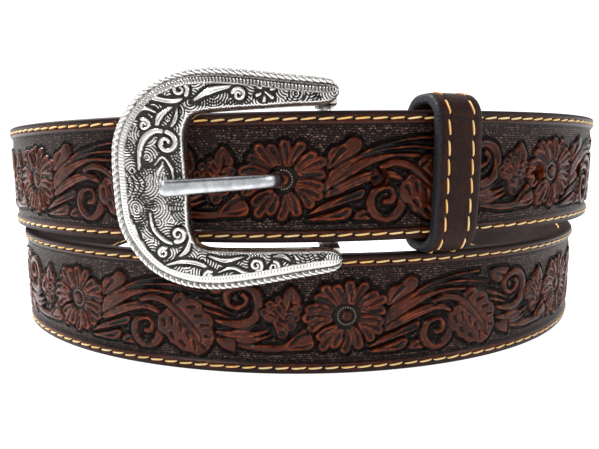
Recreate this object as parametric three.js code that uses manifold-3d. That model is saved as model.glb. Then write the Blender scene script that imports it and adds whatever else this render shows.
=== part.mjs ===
// A western tooled belt, buckled and standing on its lower edge as two turns of one strap.
// Millimetres, +Z up. The buckle faces -Y, and the belt stands on Z = 0.
import * as THREE from "three";
import { mergeVertices } from "three/addons/utils/BufferGeometryUtils.js";
import Module from "manifold-3d";

const wasm = await Module();
wasm.setup();

// Strap: thinned where it folds round the buckle's bar and doubles back as a short flap
const STRAP_WIDTH = 32;
const STRAP_THICK = 4;
const FOLD_THICK = 2.2;
const FLAP_THICK = 2.4;
const EDGE_CHAMFER = 0.7;
const TIP_LENGTH = 22;
const STATION_DEGREES = 3.8;

// The outer face's oval, seen from above. The back half is flatter than the front half.
// The upper turn lies a little to the right of the lower one.
const OVAL_X = 110.6;
const OVAL_FRONT = 88.5;
const OVAL_BACK = 58;
const UPPER_SHIFT = { x: 1.68, y: 0.71 };
const UPPER_LIFT = 35.68;
const UPPER_RISE = 2.07;

// Buckle bar, and the slot in the fold that the prong's ring turns in
const BAR_X = 8;
const BAR_Y = -78.6;
const BAR_Z = 51.9;
const BAR_RADIUS = 1.9;
const BAR_CLEARANCE = 0.35;
const FOLD_RADIUS = BAR_RADIUS + BAR_CLEARANCE + FOLD_THICK / 2;
const BAR_TURN = 3.3;
const BUCKLE_TILT_DEGREES = 1.9;
const SLOT = { left: 5, right: 4.6, front: 4.5, back: 5, height: 5.4 };

// Punched holes, one inch apart. The prong leans through the first one.
const HOLE_PITCH = 25.1;
const HOLE_RADIUS = 2.3;
const FIRST_HOLE_ARC = -5.8;
const HOLE_COUNT = 5;
const PRONG_HOLE = { radius: 2.1, fromX: 2.2, fromY: -82, toX: -6.4, toY: -90.2, drop: 0.35 };
const ROUND_SIDES = 16;

// Keeper loop
const KEEPER_ARC = 39.8;
const KEEPER_WIDTH = 12.2;
const KEEPER_THICK = 2.8;
const KEEPER_INNER = { depth: 9.8, height: 34.7 };
const KEEPER_INNER_CORNER = 2.6;
const KEEPER_INSET = 4.4;

const LEATHER = new THREE.MeshStandardMaterial({ color: 0x3f1c12, roughness: 0.5, metalness: 0 });
const KEEPER_LEATHER = new THREE.MeshStandardMaterial({ color: 0x321c18, roughness: 0.45, metalness: 0 });
const SILVER = new THREE.MeshStandardMaterial({ color: 0xb9b6b2, roughness: 0.35, metalness: 1 });
const STEEL = new THREE.MeshStandardMaterial({ color: 0xd4d6d8, roughness: 0.15, metalness: 1 });

const rad = THREE.MathUtils.degToRad;

// Where the strap's middle line runs, from the buckle's bar to the tip. The turn is in degrees
// from the front, the inset is measured inwards from the oval, the lift is the lower edge's
// height over the floor, and upper is 1 on the upper turn and 0 on the lower one.
const STRAP_ROUTE = [
  { turn: 8, inset: 6.6, lift: 35.9, upper: 1 },
  { turn: 45, inset: 6.6, lift: 37.1, upper: 1 },
  { turn: 80, inset: 6.6, lift: 37.7, upper: 1 },
  { turn: 100, inset: 7.0, lift: 36, upper: 1 },
  { turn: 150, inset: 7.2, lift: 18.5, upper: 1 },
  { turn: 215, inset: 7.2, lift: 18, upper: 1 },
  { turn: 240, inset: 7.2, lift: 14, upper: 1 },
  { turn: 268, inset: 7.1, lift: 4, upper: 0.5 },
  { turn: 288, inset: 6.6, lift: 0, upper: 0 },
  { turn: 300, inset: 5.4, lift: 0, upper: 0 },
  { turn: 360, inset: 5.2, lift: 0, upper: 0 },
  { turn: 420, inset: 5.2, lift: 0, upper: 0 },
  { turn: 438, inset: 3.9, lift: 0, upper: 0 },
  { turn: 452, inset: 2.8, lift: 2, upper: 0.5 },
  { turn: 464, inset: 2.1, lift: 5, upper: 1 },
  { turn: 510, inset: 2, lift: 17.5, upper: 1 },
  { turn: 585, inset: 2, lift: 19, upper: 1 },
  { turn: 610, inset: 2, lift: 24, upper: 1 },
  { turn: 640, inset: 2, lift: 33, upper: 1 },
  { turn: 655, inset: 2, lift: 33.9, upper: 1 },
  { turn: 720, inset: 2, lift: 35.7, upper: 1 },
  { turn: 765, inset: 2, lift: 37.1, upper: 1 },
  { turn: 816, inset: 2, lift: 37.7, upper: 1 },
];
const SMOOTHING_DEGREES = [-6, -3, 0, 3, 6];

// From the bar to where the strap has its full thickness, and the flap from its end to the bar.
const BUCKLE_END = [
  { turn: 3.3, inset: 5.6, thick: FOLD_THICK },
  { turn: 8, inset: 6.6, thick: STRAP_THICK },
];
const FLAP = [
  { turn: 3.3, inset: 12.4, thick: FOLD_THICK },
  { turn: 6.5, inset: 11.7, thick: FLAP_THICK },
  { turn: 10, inset: 10.2, thick: FLAP_THICK },
  { turn: 15, inset: 10.2, thick: FLAP_THICK },
];

// The value of a column at a turn, in straight steps from row to row.
function valueAt(rows, turn, column) {
  const next = rows.findIndex((row) => row.turn >= turn);
  if (next === 0) return rows[0][column];
  if (next < 0) return rows[rows.length - 1][column];
  const [a, b] = [rows[next - 1], rows[next]];
  return THREE.MathUtils.mapLinear(turn, a.turn, b.turn, a[column], b[column]);
}

// The route's value at a turn, with the corners of the table rounded off.
function routeAt(turn, column) {
  const total = SMOOTHING_DEGREES.reduce((sum, step) => sum + valueAt(STRAP_ROUTE, turn + step, column), 0);
  return total / SMOOTHING_DEGREES.length;
}

function planPoint(turn, inset, upper) {
  const depth = Math.cos(rad(turn)) > 0 ? OVAL_FRONT : OVAL_BACK;
  return new THREE.Vector2(
    upper * UPPER_SHIFT.x + (OVAL_X - inset) * Math.sin(rad(turn)),
    upper * UPPER_SHIFT.y - (depth - inset) * Math.cos(rad(turn)),
  );
}

function tailLift(turn) {
  return UPPER_LIFT + UPPER_RISE * Math.sin(rad(turn));
}

// The turn at which the oval's front half has run a given length from the middle of the front.
function turnAtArc(arc) {
  const stepDegrees = 0.1;
  let turn = 0;
  for (let run = 0; run < Math.abs(arc); turn += stepDegrees) {
    run += Math.hypot(OVAL_X * Math.cos(rad(turn)), OVAL_FRONT * Math.sin(rad(turn))) * rad(stepDegrees);
  }
  return Math.sign(arc) * turn;
}

// A point at mid width of the tail, at a length from the middle of the front and an inset.
function onTail(arc, inset) {
  const turn = turnAtArc(arc);
  const point = planPoint(turn, inset, 1);
  return new THREE.Vector3(point.x, point.y, tailLift(turn) + STRAP_WIDTH / 2);
}

// A closed solid through rings of points, all with the same count, capped at both ends.
function loft(rings) {
  const sides = rings[0].length;
  const positions = rings.flat().flatMap((p) => [p.x, p.y, p.z]);
  const faces = [];
  for (let i = 0; i + 1 < rings.length; i += 1) {
    for (let j = 0; j < sides; j += 1) {
      const k = (j + 1) % sides;
      const [a, b, c, d] = [i * sides + j, i * sides + k, (i + 1) * sides + k, (i + 1) * sides + j];
      faces.push(a, b, c, a, c, d);
    }
  }
  const last = (rings.length - 1) * sides;
  for (let j = 1; j + 1 < sides; j += 1) {
    faces.push(0, j + 1, j);
    faces.push(last, last + j, last + j + 1);
  }
  const geometry = new THREE.BufferGeometry();
  geometry.setAttribute("position", new THREE.Float32BufferAttribute(positions, 3));
  geometry.setIndex(faces);
  return geometry;
}

function turnedInsideOut(geometry) {
  const index = Array.from(geometry.index.array);
  for (let i = 0; i < index.length; i += 3) [index[i], index[i + 1]] = [index[i + 1], index[i]];
  const turned = geometry.clone();
  turned.setIndex(index);
  return turned;
}

function solidOf(geometry) {
  const bare = geometry.clone();
  bare.deleteAttribute("normal");
  bare.deleteAttribute("uv");
  const merged = mergeVertices(bare, 1e-4);
  const solid = new wasm.Manifold(
    new wasm.Mesh({
      numProp: 3,
      vertProperties: new Float32Array(merged.attributes.position.array),
      triVerts: new Uint32Array(merged.index.array),
    }),
  );
  return solid.volume() < 0 ? solidOf(turnedInsideOut(merged)) : solid;
}

function named(name, solid, material) {
  const mesh = solid.getMesh();
  const geometry = new THREE.BufferGeometry();
  geometry.setAttribute("position", new THREE.BufferAttribute(new Float32Array(mesh.vertProperties), 3));
  geometry.setIndex(new THREE.BufferAttribute(new Uint32Array(mesh.triVerts), 1));
  geometry.computeVertexNormals();
  const piece = new THREE.Mesh(geometry, material);
  piece.name = name;
  return piece;
}

// A round pin along the line from one point to another.
function pinBetween(from, to, radius) {
  const pin = new THREE.CylinderGeometry(radius, radius, from.distanceTo(to), ROUND_SIDES);
  const along = to.clone().sub(from).normalize();
  pin.applyQuaternion(new THREE.Quaternion().setFromUnitVectors(new THREE.Vector3(0, 1, 0), along));
  pin.translate(...from.clone().lerp(to, 0.5).toArray());
  return solidOf(pin);
}

// The flap and the fold, which stand along the tilted bar, and the strap out to its rounded tip.
function strapStations() {
  const stations = [];
  const up = new THREE.Vector3(-Math.sin(rad(BUCKLE_TILT_DEGREES)), 0, Math.cos(rad(BUCKLE_TILT_DEGREES)));
  for (let turn = 15; turn > BAR_TURN; turn -= 1.3) {
    const point = planPoint(turn, valueAt(FLAP, turn, "inset"), 1);
    stations.push({ point, up, lift: routeAt(turn, "lift"), thick: valueAt(FLAP, turn, "thick") });
  }
  const foldSteps = 8;
  for (let i = 0; i <= foldSteps; i += 1) {
    const angle = Math.PI / 2 + (Math.PI * i) / foldSteps;
    const point = new THREE.Vector2(BAR_X, BAR_Y);
    point.x += FOLD_RADIUS * Math.cos(angle);
    point.y += FOLD_RADIUS * Math.sin(angle);
    stations.push({ point, up, lift: routeAt(BAR_TURN, "lift"), thick: FOLD_THICK });
  }
  for (const turn of [4.3, 5.5, 6.8, 8]) {
    const point = planPoint(turn, valueAt(BUCKLE_END, turn, "inset"), 1);
    stations.push({ point, up, lift: routeAt(turn, "lift"), thick: valueAt(BUCKLE_END, turn, "thick") });
  }
  const along = (turn, width) => {
    const point = planPoint(turn, routeAt(turn, "inset"), routeAt(turn, "upper"));
    stations.push({ point, lift: routeAt(turn, "lift"), thick: STRAP_THICK, width });
  };
  const tipTurn = STRAP_ROUTE[STRAP_ROUTE.length - 1].turn;
  const tipDegrees = TIP_LENGTH / (OVAL_FRONT * rad(1));
  for (let turn = 11; turn < tipTurn - tipDegrees - 1; turn += STATION_DEGREES) along(turn, STRAP_WIDTH);
  for (const share of [0, 0.3, 0.55, 0.75, 0.9, 1]) {
    along(tipTurn - tipDegrees * (1 - share), STRAP_WIDTH * Math.sqrt(1.02 - share * share));
  }
  return stations;
}

// A section of the strap: a rectangle on edge with its corners cut off.
function strapSection({ point, lift, thick, width = STRAP_WIDTH }, tangent, up) {
  const outward = new THREE.Vector3(tangent.y, -tangent.x, 0);
  const middle = new THREE.Vector3(point.x, point.y, lift + STRAP_WIDTH / 2);
  const cut = EDGE_CHAMFER;
  const [t, w] = [thick / 2, width / 2];
  const corners = [
    [t, cut - w], [t, w - cut], [t - cut, w], [cut - t, w],
    [-t, w - cut], [-t, cut - w], [cut - t, -w], [t - cut, -w],
  ];
  return corners.map(([a, b]) => middle.clone().addScaledVector(outward, a).addScaledVector(up, b));
}

function makeStrap() {
  const stations = strapStations();
  const rings = stations.map((station, i) => {
    const before = stations[Math.max(i - 1, 0)];
    const after = stations[Math.min(i + 1, stations.length - 1)];
    const tangent = after.point.clone().sub(before.point);
    const slope = Math.atan2(after.lift - before.lift, tangent.length());
    tangent.normalize();
    const lean = tangent.clone().multiplyScalar(-Math.sin(slope));
    return strapSection(station, tangent, station.up ?? new THREE.Vector3(lean.x, lean.y, Math.cos(slope)));
  });
  let strap = solidOf(loft(rings));
  const prongHeight = BAR_Z - PRONG_HOLE.drop;
  const prongHole = pinBetween(
    new THREE.Vector3(PRONG_HOLE.fromX, PRONG_HOLE.fromY, prongHeight),
    new THREE.Vector3(PRONG_HOLE.toX, PRONG_HOLE.toY, prongHeight),
    PRONG_HOLE.radius,
  );
  strap = strap.subtract(prongHole);
  for (let i = 1; i < HOLE_COUNT; i += 1) {
    const arc = FIRST_HOLE_ARC + i * HOLE_PITCH;
    strap = strap.subtract(pinBetween(onTail(arc, -1), onTail(arc, STRAP_THICK + 0.2), HOLE_RADIUS));
  }
  const slot = new THREE.BoxGeometry(SLOT.left + SLOT.right, SLOT.front + SLOT.back, SLOT.height);
  slot.translate(BAR_X + (SLOT.right - SLOT.left) / 2, BAR_Y + (SLOT.back - SLOT.front) / 2, BAR_Z);
  return named("strap", strap.subtract(solidOf(slot)), LEATHER);
}

function roundedRectangle(width, height, corner) {
  const [w, h] = [width / 2 - corner, height / 2 - corner];
  const path = new THREE.Path();
  path.absarc(w, -h, corner, -Math.PI / 2, 0, false);
  path.absarc(w, h, corner, 0, Math.PI / 2, false);
  path.absarc(-w, h, corner, Math.PI / 2, Math.PI, false);
  path.absarc(-w, -h, corner, Math.PI, 1.5 * Math.PI, false);
  path.closePath();
  return path;
}

// Keeper: one stitched leather loop round the tail and the buckle end.
function makeKeeper() {
  const outer = roundedRectangle(
    KEEPER_INNER.depth + 2 * KEEPER_THICK,
    KEEPER_INNER.height + 2 * KEEPER_THICK,
    KEEPER_INNER_CORNER + KEEPER_THICK,
  );
  const shape = new THREE.Shape(outer.getPoints(6));
  shape.holes.push(roundedRectangle(KEEPER_INNER.depth, KEEPER_INNER.height, KEEPER_INNER_CORNER));
  const loop = new THREE.ExtrudeGeometry(shape, {
    depth: KEEPER_WIDTH,
    bevelEnabled: false,
    curveSegments: 6,
  });
  loop.translate(0, 0, -KEEPER_WIDTH / 2);
  // The drawing's X becomes the depth, its Y the height, and the extrusion the strap's run.
  const turn = turnAtArc(KEEPER_ARC);
  const place = planPoint(turn, KEEPER_INSET, 1);
  const ahead = planPoint(turn + 0.5, KEEPER_INSET, 1);
  const along = ahead.sub(planPoint(turn - 0.5, KEEPER_INSET, 1)).normalize();
  const turnedToStrap = new THREE.Matrix4().makeBasis(
    new THREE.Vector3(along.y, -along.x, 0),
    new THREE.Vector3(0, 0, 1),
    new THREE.Vector3(-along.x, -along.y, 0),
  );
  loop.applyMatrix4(turnedToStrap);
  loop.translate(place.x, place.y, tailLift(turn) + STRAP_WIDTH / 2);
  return named("keeper", solidOf(loop), KEEPER_LEATHER);
}

// The upper half of the buckle frame, from the middle of its bow to the arm's rounded end: its
// outer and inner edges, as distances right of the bar and above the buckle's middle.
const FRAME_OUTLINE = [
  { outerX: -50.6, outerZ: 0, innerX: -33.2, innerZ: 0 },
  { outerX: -50.0, outerZ: 9.5, innerX: -33.4, innerZ: 6.0 },
  { outerX: -47.0, outerZ: 15.6, innerX: -33.3, innerZ: 11.0 },
  { outerX: -42.2, outerZ: 20.9, innerX: -32.2, innerZ: 14.2 },
  { outerX: -35.5, outerZ: 24.1, innerX: -30.0, innerZ: 15.7 },
  { outerX: -28.0, outerZ: 25.4, innerX: -26.0, innerZ: 16.2 },
  { outerX: -18.6, outerZ: 24.9, innerX: -18.0, innerZ: 16.5 },
  { outerX: -9.0, outerZ: 23.8, innerX: -9.0, innerZ: 16.8 },
  { outerX: -1.0, outerZ: 23.0, innerX: -1.0, innerZ: 17.1 },
  { outerX: 1.6, outerZ: 22.3, innerX: 1.6, innerZ: 17.8 },
  { outerX: 2.9, outerZ: 20.9, innerX: 2.9, innerZ: 19.2 },
];

// The frame's section: millimetres in from one edge, height over its back, share of the rope cuts.
const FRAME_PROFILE = [
  { from: "inner", across: 0, height: 0, rope: 0 },
  { from: "inner", across: 0, height: 2.6, rope: 0 },
  { from: "inner", across: 0.8, height: 3.9, rope: 0 },
  { from: "inner", across: 2.0, height: 4.4, rope: 0 },
  { from: "outer", across: 3.2, height: 4.2, rope: 0 },
  { from: "outer", across: 2.4, height: 3.4, rope: 0 },
  { from: "outer", across: 1.8, height: 4.0, rope: 1 },
  { from: "outer", across: 0.7, height: 3.9, rope: 1 },
  { from: "outer", across: 0, height: 2.6, rope: 0.6 },
  { from: "outer", across: 0, height: 0, rope: 0 },
];
const FULL_PROFILE_WIDTH = 6.4;
const FRAME_FACE_HEIGHT = 4.3;
const ROPE_CUTS = 60;
const ROPE_DEPTH = 0.4;

// The frame's back is bowed: it is furthest forward a little left of the strap's prong hole.
const FRAME_BACK = { crest: -88.7, crestX: -22, bend: 1 / 320 };

function frameBackY(x) {
  return FRAME_BACK.crest + FRAME_BACK.bend * (x - FRAME_BACK.crestX) ** 2;
}

function frameLoop() {
  const lower = FRAME_OUTLINE.slice(1);
  const upper = [...FRAME_OUTLINE].reverse();
  const whole = [...upper, ...lower.map((row) => ({ ...row, outerZ: -row.outerZ, innerZ: -row.innerZ }))];
  const outer = new THREE.SplineCurve(whole.map((row) => new THREE.Vector2(row.outerX, row.outerZ)));
  const inner = new THREE.SplineCurve(whole.map((row) => new THREE.Vector2(row.innerX, row.innerZ)));
  const rings = [];
  const count = 2 * ROPE_CUTS;
  for (let i = 0; i <= count; i += 1) {
    const t = outer.getUtoTmapping(i / count);
    const [outerEdge, innerEdge] = [outer.getPoint(t), inner.getPoint(t)];
    const width = outerEdge.distanceTo(innerEdge);
    const fit = Math.min(1, width / FULL_PROFILE_WIDTH);
    const strand = i % 2 === 0 ? -ROPE_DEPTH : ROPE_DEPTH / 2;
    const ring = FRAME_PROFILE.map(({ from, across, height, rope }) => {
      const share = (across * fit) / width;
      const place = new THREE.Vector2().lerpVectors(innerEdge, outerEdge, from === "inner" ? share : 1 - share);
      const raised = height * (0.7 + 0.3 * fit) + strand * rope * fit;
      return new THREE.Vector3(place.x, frameBackY(place.x) - raised, place.y);
    });
    rings.push(ring);
  }
  return solidOf(loft(rings));
}

// Raised scrolls on the frame's face, as spirals about a centre. Each is mirrored below.
const FRAME_SCROLLS = [
  { x: -41.6, z: 3.9, radius: 3.3, turns: 1.4, start: 150, sense: -1 },
  { x: -41.0, z: 10.8, radius: 3.1, turns: 1.4, start: 250, sense: 1 },
  { x: -37.2, z: 16.2, radius: 2.7, turns: 1.3, start: 200, sense: -1 },
  { x: -31.5, z: 19.6, radius: 2.1, turns: 1.2, start: 200, sense: 1 },
  { x: -25.0, z: 20.2, radius: 1.9, turns: 1.2, start: 180, sense: -1 },
  { x: -17.0, z: 19.9, radius: 1.7, turns: 1.2, start: 200, sense: 1 },
  { x: -9.0, z: 19.6, radius: 1.4, turns: 1.1, start: 200, sense: -1 },
];
const RIDGE_RADIUS = 0.5;

function scrollRidge(scroll, side) {
  const pointAt = (share) => {
    const angle = rad(scroll.start + scroll.sense * share * scroll.turns * 360);
    const radius = scroll.radius * (1 - 0.72 * share);
    const x = scroll.x + radius * Math.cos(angle);
    const z = side * (scroll.z + radius * Math.sin(angle));
    return new THREE.Vector3(x, frameBackY(x) - FRAME_FACE_HEIGHT, z);
  };
  const steps = 10;
  const rings = [];
  for (let i = 0; i <= steps; i += 1) {
    const share = i / steps;
    const along = pointAt(Math.min(share + 0.01, 1)).sub(pointAt(Math.max(share - 0.01, 0)));
    const sideways = new THREE.Vector3(along.z, 0, -along.x).normalize();
    const size = i % steps === 0 ? RIDGE_RADIUS / 2 : RIDGE_RADIUS;
    const forward = new THREE.Vector3(0, size, 0);
    const ring = [sideways.multiplyScalar(size), forward].flatMap((step) => [step, step.clone().negate()]);
    rings.push([ring[0], ring[2], ring[1], ring[3]].map((step) => pointAt(share).add(step)));
  }
  return solidOf(loft(rings));
}

// A lug behind each arm's end, which carries the end of the bar.
const LUG = { low: 17.1, high: 19.1, half: 2.6 };

function makeLug(side) {
  const root = frameBackY(0) - 1;
  const shape = new THREE.Shape();
  shape.moveTo(-LUG.half, root);
  shape.lineTo(LUG.half, root);
  shape.absarc(0, BAR_Y, LUG.half, 0, Math.PI, false);
  shape.closePath();
  const plate = new THREE.ExtrudeGeometry(shape, { depth: LUG.high - LUG.low, bevelEnabled: false });
  plate.translate(0, 0, side > 0 ? LUG.low : -LUG.high);
  return solidOf(plate);
}

function makeBuckleFrame() {
  let frame = frameLoop();
  for (const side of [1, -1]) {
    frame = frame.add(makeLug(side));
    for (const scroll of FRAME_SCROLLS) frame = frame.add(scrollRidge(scroll, side));
  }
  const barEnd = (LUG.low + LUG.high) / 2;
  const bar = pinBetween(
    new THREE.Vector3(0, BAR_Y, -barEnd),
    new THREE.Vector3(0, BAR_Y, barEnd),
    BAR_RADIUS,
  );
  return named("buckle_frame", frame.add(bar), SILVER);
}

// Prong: a ring on the bar, and a tongue through its hole and out over the bow. Its line is given
// from the bar, x to the right and y as in the whole belt.
const PRONG_RING = { inner: BAR_RADIUS + BAR_CLEARANCE, outer: 4, width: 4.4 };
const PRONG_LINE = [
  { x: -2.8, y: -80.6, width: 2.6, thick: 2.0 },
  { x: -5.4, y: -81.7, width: 2.6, thick: 2.0 },
  { x: -7.4, y: -83.3, width: 2.7, thick: 2.1 },
  { x: -9.9, y: -85.7, width: 2.7, thick: 2.1 },
  { x: -12.2, y: -88.0, width: 2.8, thick: 2.2 },
  { x: -14.8, y: -89.9, width: 2.9, thick: 2.4 },
  { x: -20.0, y: -91.5, width: 3.3, thick: 2.7 },
  { x: -30.0, y: -93.4, width: 3.9, thick: 3.1 },
  { x: -37.6, y: -95.0, width: 4.3, thick: 3.2 },
  { x: -39.0, y: -95.3, width: 3.9, thick: 2.9 },
  { x: -39.9, y: -95.5, width: 2.6, thick: 2.0 },
];

function prongTongue() {
  const rings = PRONG_LINE.map((row, i) => {
    const before = PRONG_LINE[Math.max(i - 1, 0)];
    const after = PRONG_LINE[Math.min(i + 1, PRONG_LINE.length - 1)];
    const along = new THREE.Vector2(after.x - before.x, after.y - before.y).normalize();
    return Array.from({ length: ROUND_SIDES }, (_, k) => {
      const angle = (2 * Math.PI * k) / ROUND_SIDES;
      const across = (row.thick / 2) * Math.cos(angle);
      const height = (row.width / 2) * Math.sin(angle);
      return new THREE.Vector3(row.x - along.y * across, row.y + along.x * across, height);
    });
  });
  return solidOf(loft(rings));
}

function makeProng() {
  const half = PRONG_RING.width / 2;
  const ends = [new THREE.Vector3(0, BAR_Y, -half), new THREE.Vector3(0, BAR_Y, half)];
  const past = [new THREE.Vector3(0, BAR_Y, -2 * half), new THREE.Vector3(0, BAR_Y, 2 * half)];
  const ring = pinBetween(...ends, PRONG_RING.outer);
  const bore = pinBetween(...past, PRONG_RING.inner);
  return named("prong", ring.add(prongTongue()).subtract(bore), STEEL);
}

const belt = new THREE.Group();
belt.add(makeStrap());
belt.add(makeKeeper());

const buckle = new THREE.Group();
buckle.add(makeBuckleFrame());
buckle.add(makeProng());
buckle.position.set(BAR_X, 0, BAR_Z);
buckle.rotation.y = rad(-BUCKLE_TILT_DEGREES);
belt.add(buckle);

// The origin is under the middle of the whole belt, on the surface that it stands on.
belt.updateMatrixWorld(true);
const middle = new THREE.Box3().setFromObject(belt, true).getCenter(new THREE.Vector3());
belt.position.set(-middle.x, -middle.y, 0);

export default belt;
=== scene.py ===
"""A western tooled belt, buckled and standing on its edge. Sizes are millimetres until to_row()."""
import math

import bpy
import numpy as np
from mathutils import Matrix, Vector


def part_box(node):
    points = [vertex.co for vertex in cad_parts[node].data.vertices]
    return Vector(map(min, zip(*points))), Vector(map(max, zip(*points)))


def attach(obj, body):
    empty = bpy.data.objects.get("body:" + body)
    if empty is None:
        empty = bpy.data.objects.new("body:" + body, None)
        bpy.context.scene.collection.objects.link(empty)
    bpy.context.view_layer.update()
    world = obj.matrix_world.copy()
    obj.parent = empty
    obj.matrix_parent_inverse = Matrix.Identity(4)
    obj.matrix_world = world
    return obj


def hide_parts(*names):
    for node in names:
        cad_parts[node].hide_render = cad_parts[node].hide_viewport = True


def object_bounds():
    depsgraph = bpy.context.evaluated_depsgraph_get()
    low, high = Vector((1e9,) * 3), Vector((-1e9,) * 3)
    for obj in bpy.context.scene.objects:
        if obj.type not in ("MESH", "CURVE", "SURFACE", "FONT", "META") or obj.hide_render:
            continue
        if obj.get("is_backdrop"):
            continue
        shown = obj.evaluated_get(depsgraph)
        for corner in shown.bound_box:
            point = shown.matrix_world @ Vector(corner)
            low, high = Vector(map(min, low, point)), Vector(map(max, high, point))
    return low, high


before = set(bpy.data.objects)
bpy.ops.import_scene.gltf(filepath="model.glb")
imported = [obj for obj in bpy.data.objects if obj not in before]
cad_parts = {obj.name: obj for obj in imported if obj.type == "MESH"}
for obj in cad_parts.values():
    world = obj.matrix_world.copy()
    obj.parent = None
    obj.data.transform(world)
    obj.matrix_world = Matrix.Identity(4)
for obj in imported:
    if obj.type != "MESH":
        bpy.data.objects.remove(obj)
CAD_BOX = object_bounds()

# Strap
WIDTH = 32.0
THICK = 4.0
FOLD_THICK = 2.2
EDGE_ROUND = 0.9
BORDER = 3.3
TIP_LENGTH = 22.0

# The outer face's oval, seen from above, and the upper turn's place
OVAL_X = 110.6
OVAL_FRONT = 88.5
OVAL_BACK = 58.0
UPPER_SHIFT_X = 1.68
UPPER_SHIFT_Y = 0.71
UPPER_LIFT = 35.68
UPPER_RISE = 2.07

# Buckle bar
BAR = np.array([8.0, -78.6, 51.9])
BAR_RADIUS = 1.9
FOLD_RADIUS = BAR_RADIUS + 0.35 + FOLD_THICK / 2
BAR_TURN = 3.3
TILT = math.radians(1.9)

# Punched holes and stitches
HOLE_PITCH = 25.1
HOLE_RADIUS = 2.3
FIRST_HOLE_ARC = -5.8
HOLE_COUNT = 5
STITCH_PITCH = 4.4
STITCH_LENGTH = 3.85
STITCH_INSET = 1.85

# The route of the strap's middle line: turn in degrees from the front, inset from the oval, lift
# of the lower edge, and 1 on the upper turn, 0 on the lower one
ROUTE = [
    (8, 6.6, 35.9, 1), (45, 6.6, 37.1, 1), (80, 6.6, 37.7, 1), (100, 7.0, 36, 1),
    (150, 7.2, 18.5, 1), (215, 7.2, 18, 1), (240, 7.2, 14, 1), (268, 7.1, 4, 0.5),
    (288, 6.6, 0, 0), (300, 5.4, 0, 0), (360, 5.2, 0, 0), (420, 5.2, 0, 0),
    (438, 3.9, 0, 0), (452, 2.8, 2, 0.5), (464, 2.1, 5, 1), (510, 2, 17.5, 1),
    (585, 2, 19, 1), (610, 2, 24, 1), (640, 2, 33, 1), (655, 2, 33.9, 1),
    (720, 2, 35.7, 1), (765, 2, 37.1, 1), (816, 2, 37.7, 1),
]
ROUTE_TURN, ROUTE_INSET, ROUTE_LIFT, ROUTE_UPPER = np.array(ROUTE, float).T
TIP_TURN = ROUTE_TURN[-1]

# Coil millimetres to the row frame: the strap's right and front sides give the shift
STRAP_LOW, STRAP_HIGH = (np.array(corner) * 1000 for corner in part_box("strap"))
SHIFT = np.array([
    STRAP_HIGH[0] - (UPPER_SHIFT_X + OVAL_X),
    STRAP_LOW[1] + OVAL_FRONT - UPPER_SHIFT_Y,
    0.0,
])


def to_row(points):
    return (np.asarray(points, float) + SHIFT) / 1000


def smoothstep(low, high, x):
    share = np.clip((np.asarray(x, float) - low) / (high - low), 0, 1)
    return share * share * (3 - 2 * share)


def bell(x, reach):
    """1 where x is 0, and close to 0 where it is two reaches away."""
    return np.exp(-((x / reach) ** 2))


def unit(vectors):
    return vectors / np.linalg.norm(vectors, axis=-1, keepdims=True)


def run_along(points):
    """The length run along a line up to each of its points."""
    return np.concatenate([[0], np.cumsum(np.linalg.norm(np.diff(points, axis=0), axis=1))])


def circle(angle, radius=1.0, middle=(0.0, 0.0)):
    """Points at angles round a middle: a spiral where the radius changes."""
    return np.column_stack([middle[0] + radius * np.cos(angle), middle[1] + radius * np.sin(angle)])


def spiral(middle, radius, turns, start, sense, inner, steps):
    """A line that winds inwards. Start is in degrees; sense is 1 for anticlockwise."""
    share = np.linspace(0, 1, int(steps * turns) + 6)
    angle = np.radians(start + sense * share * turns * 360)
    return circle(angle, radius * (1 - (1 - inner) * share), middle)


def route(turn, column):
    """The route's value at each turn, with the table's corners rounded off."""
    steps = np.linspace(-7.5, 7.5, 31)
    return np.mean([np.interp(turn + step, ROUTE_TURN, column) for step in steps], axis=0)


def plan(turn, inset, upper):
    angle = np.radians(turn)
    depth = np.where(np.cos(angle) > 0, OVAL_FRONT, OVAL_BACK)
    x = upper * UPPER_SHIFT_X + (OVAL_X - inset) * np.sin(angle)
    y = upper * UPPER_SHIFT_Y - (depth - inset) * np.cos(angle)
    return np.stack([x, y], axis=-1)


class Path:
    """Stations along a strap: middle point, outward and upward directions, arc length."""

    def __init__(self, xy, lift, up=None):
        steps = np.gradient(xy, axis=0)
        run = np.linalg.norm(steps, axis=1)
        tangent = steps / run[:, None]
        slope = np.arctan2(np.gradient(lift), run)
        zero = np.zeros(len(run))
        self.out = np.stack([tangent[:, 1], -tangent[:, 0], zero], axis=-1)
        lean = -tangent * np.sin(slope)[:, None]
        self.up = np.column_stack([lean, np.cos(slope)])
        if up is not None:
            self.up = np.repeat(np.array([up]), len(run), axis=0)
        self.middle = np.column_stack([xy, lift + WIDTH / 2])
        face = self.middle + self.out * THICK / 2
        self.arc = run_along(face)

    def at(self, arc):
        """Middle points, outward and upward directions at arc lengths."""
        found = []
        for rows in (self.middle, self.out, self.up):
            found.append(np.stack([np.interp(arc, self.arc, rows[:, k]) for k in range(3)], axis=-1))
        return found


TURNS = np.arange(8, TIP_TURN + 0.01, 0.05)
STRAP = Path(
    plan(TURNS, route(TURNS, ROUTE_INSET), route(TURNS, ROUTE_UPPER)),
    route(TURNS, ROUTE_LIFT),
)


def arc_at(turn):
    return float(np.interp(turn, TURNS, STRAP.arc))


LOWER_FRONT = arc_at(360)
UPPER_FRONT = arc_at(720)
STRAP_END = STRAP.arc[-1]

# The tooling repeats: one flower stands right of the lower front's middle, and another, seven
# repeats on, left of the upper front's
FLOWER_RIGHT = 13.5
FLOWER_LEFT = 4.7
REPEATS = 7
FLOWER_ARC = LOWER_FRONT + FLOWER_RIGHT
REPEAT = (UPPER_FRONT - FLOWER_LEFT - FLOWER_ARC) / REPEATS
TILE = 80.0
FLOWER_V = 15.7

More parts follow.
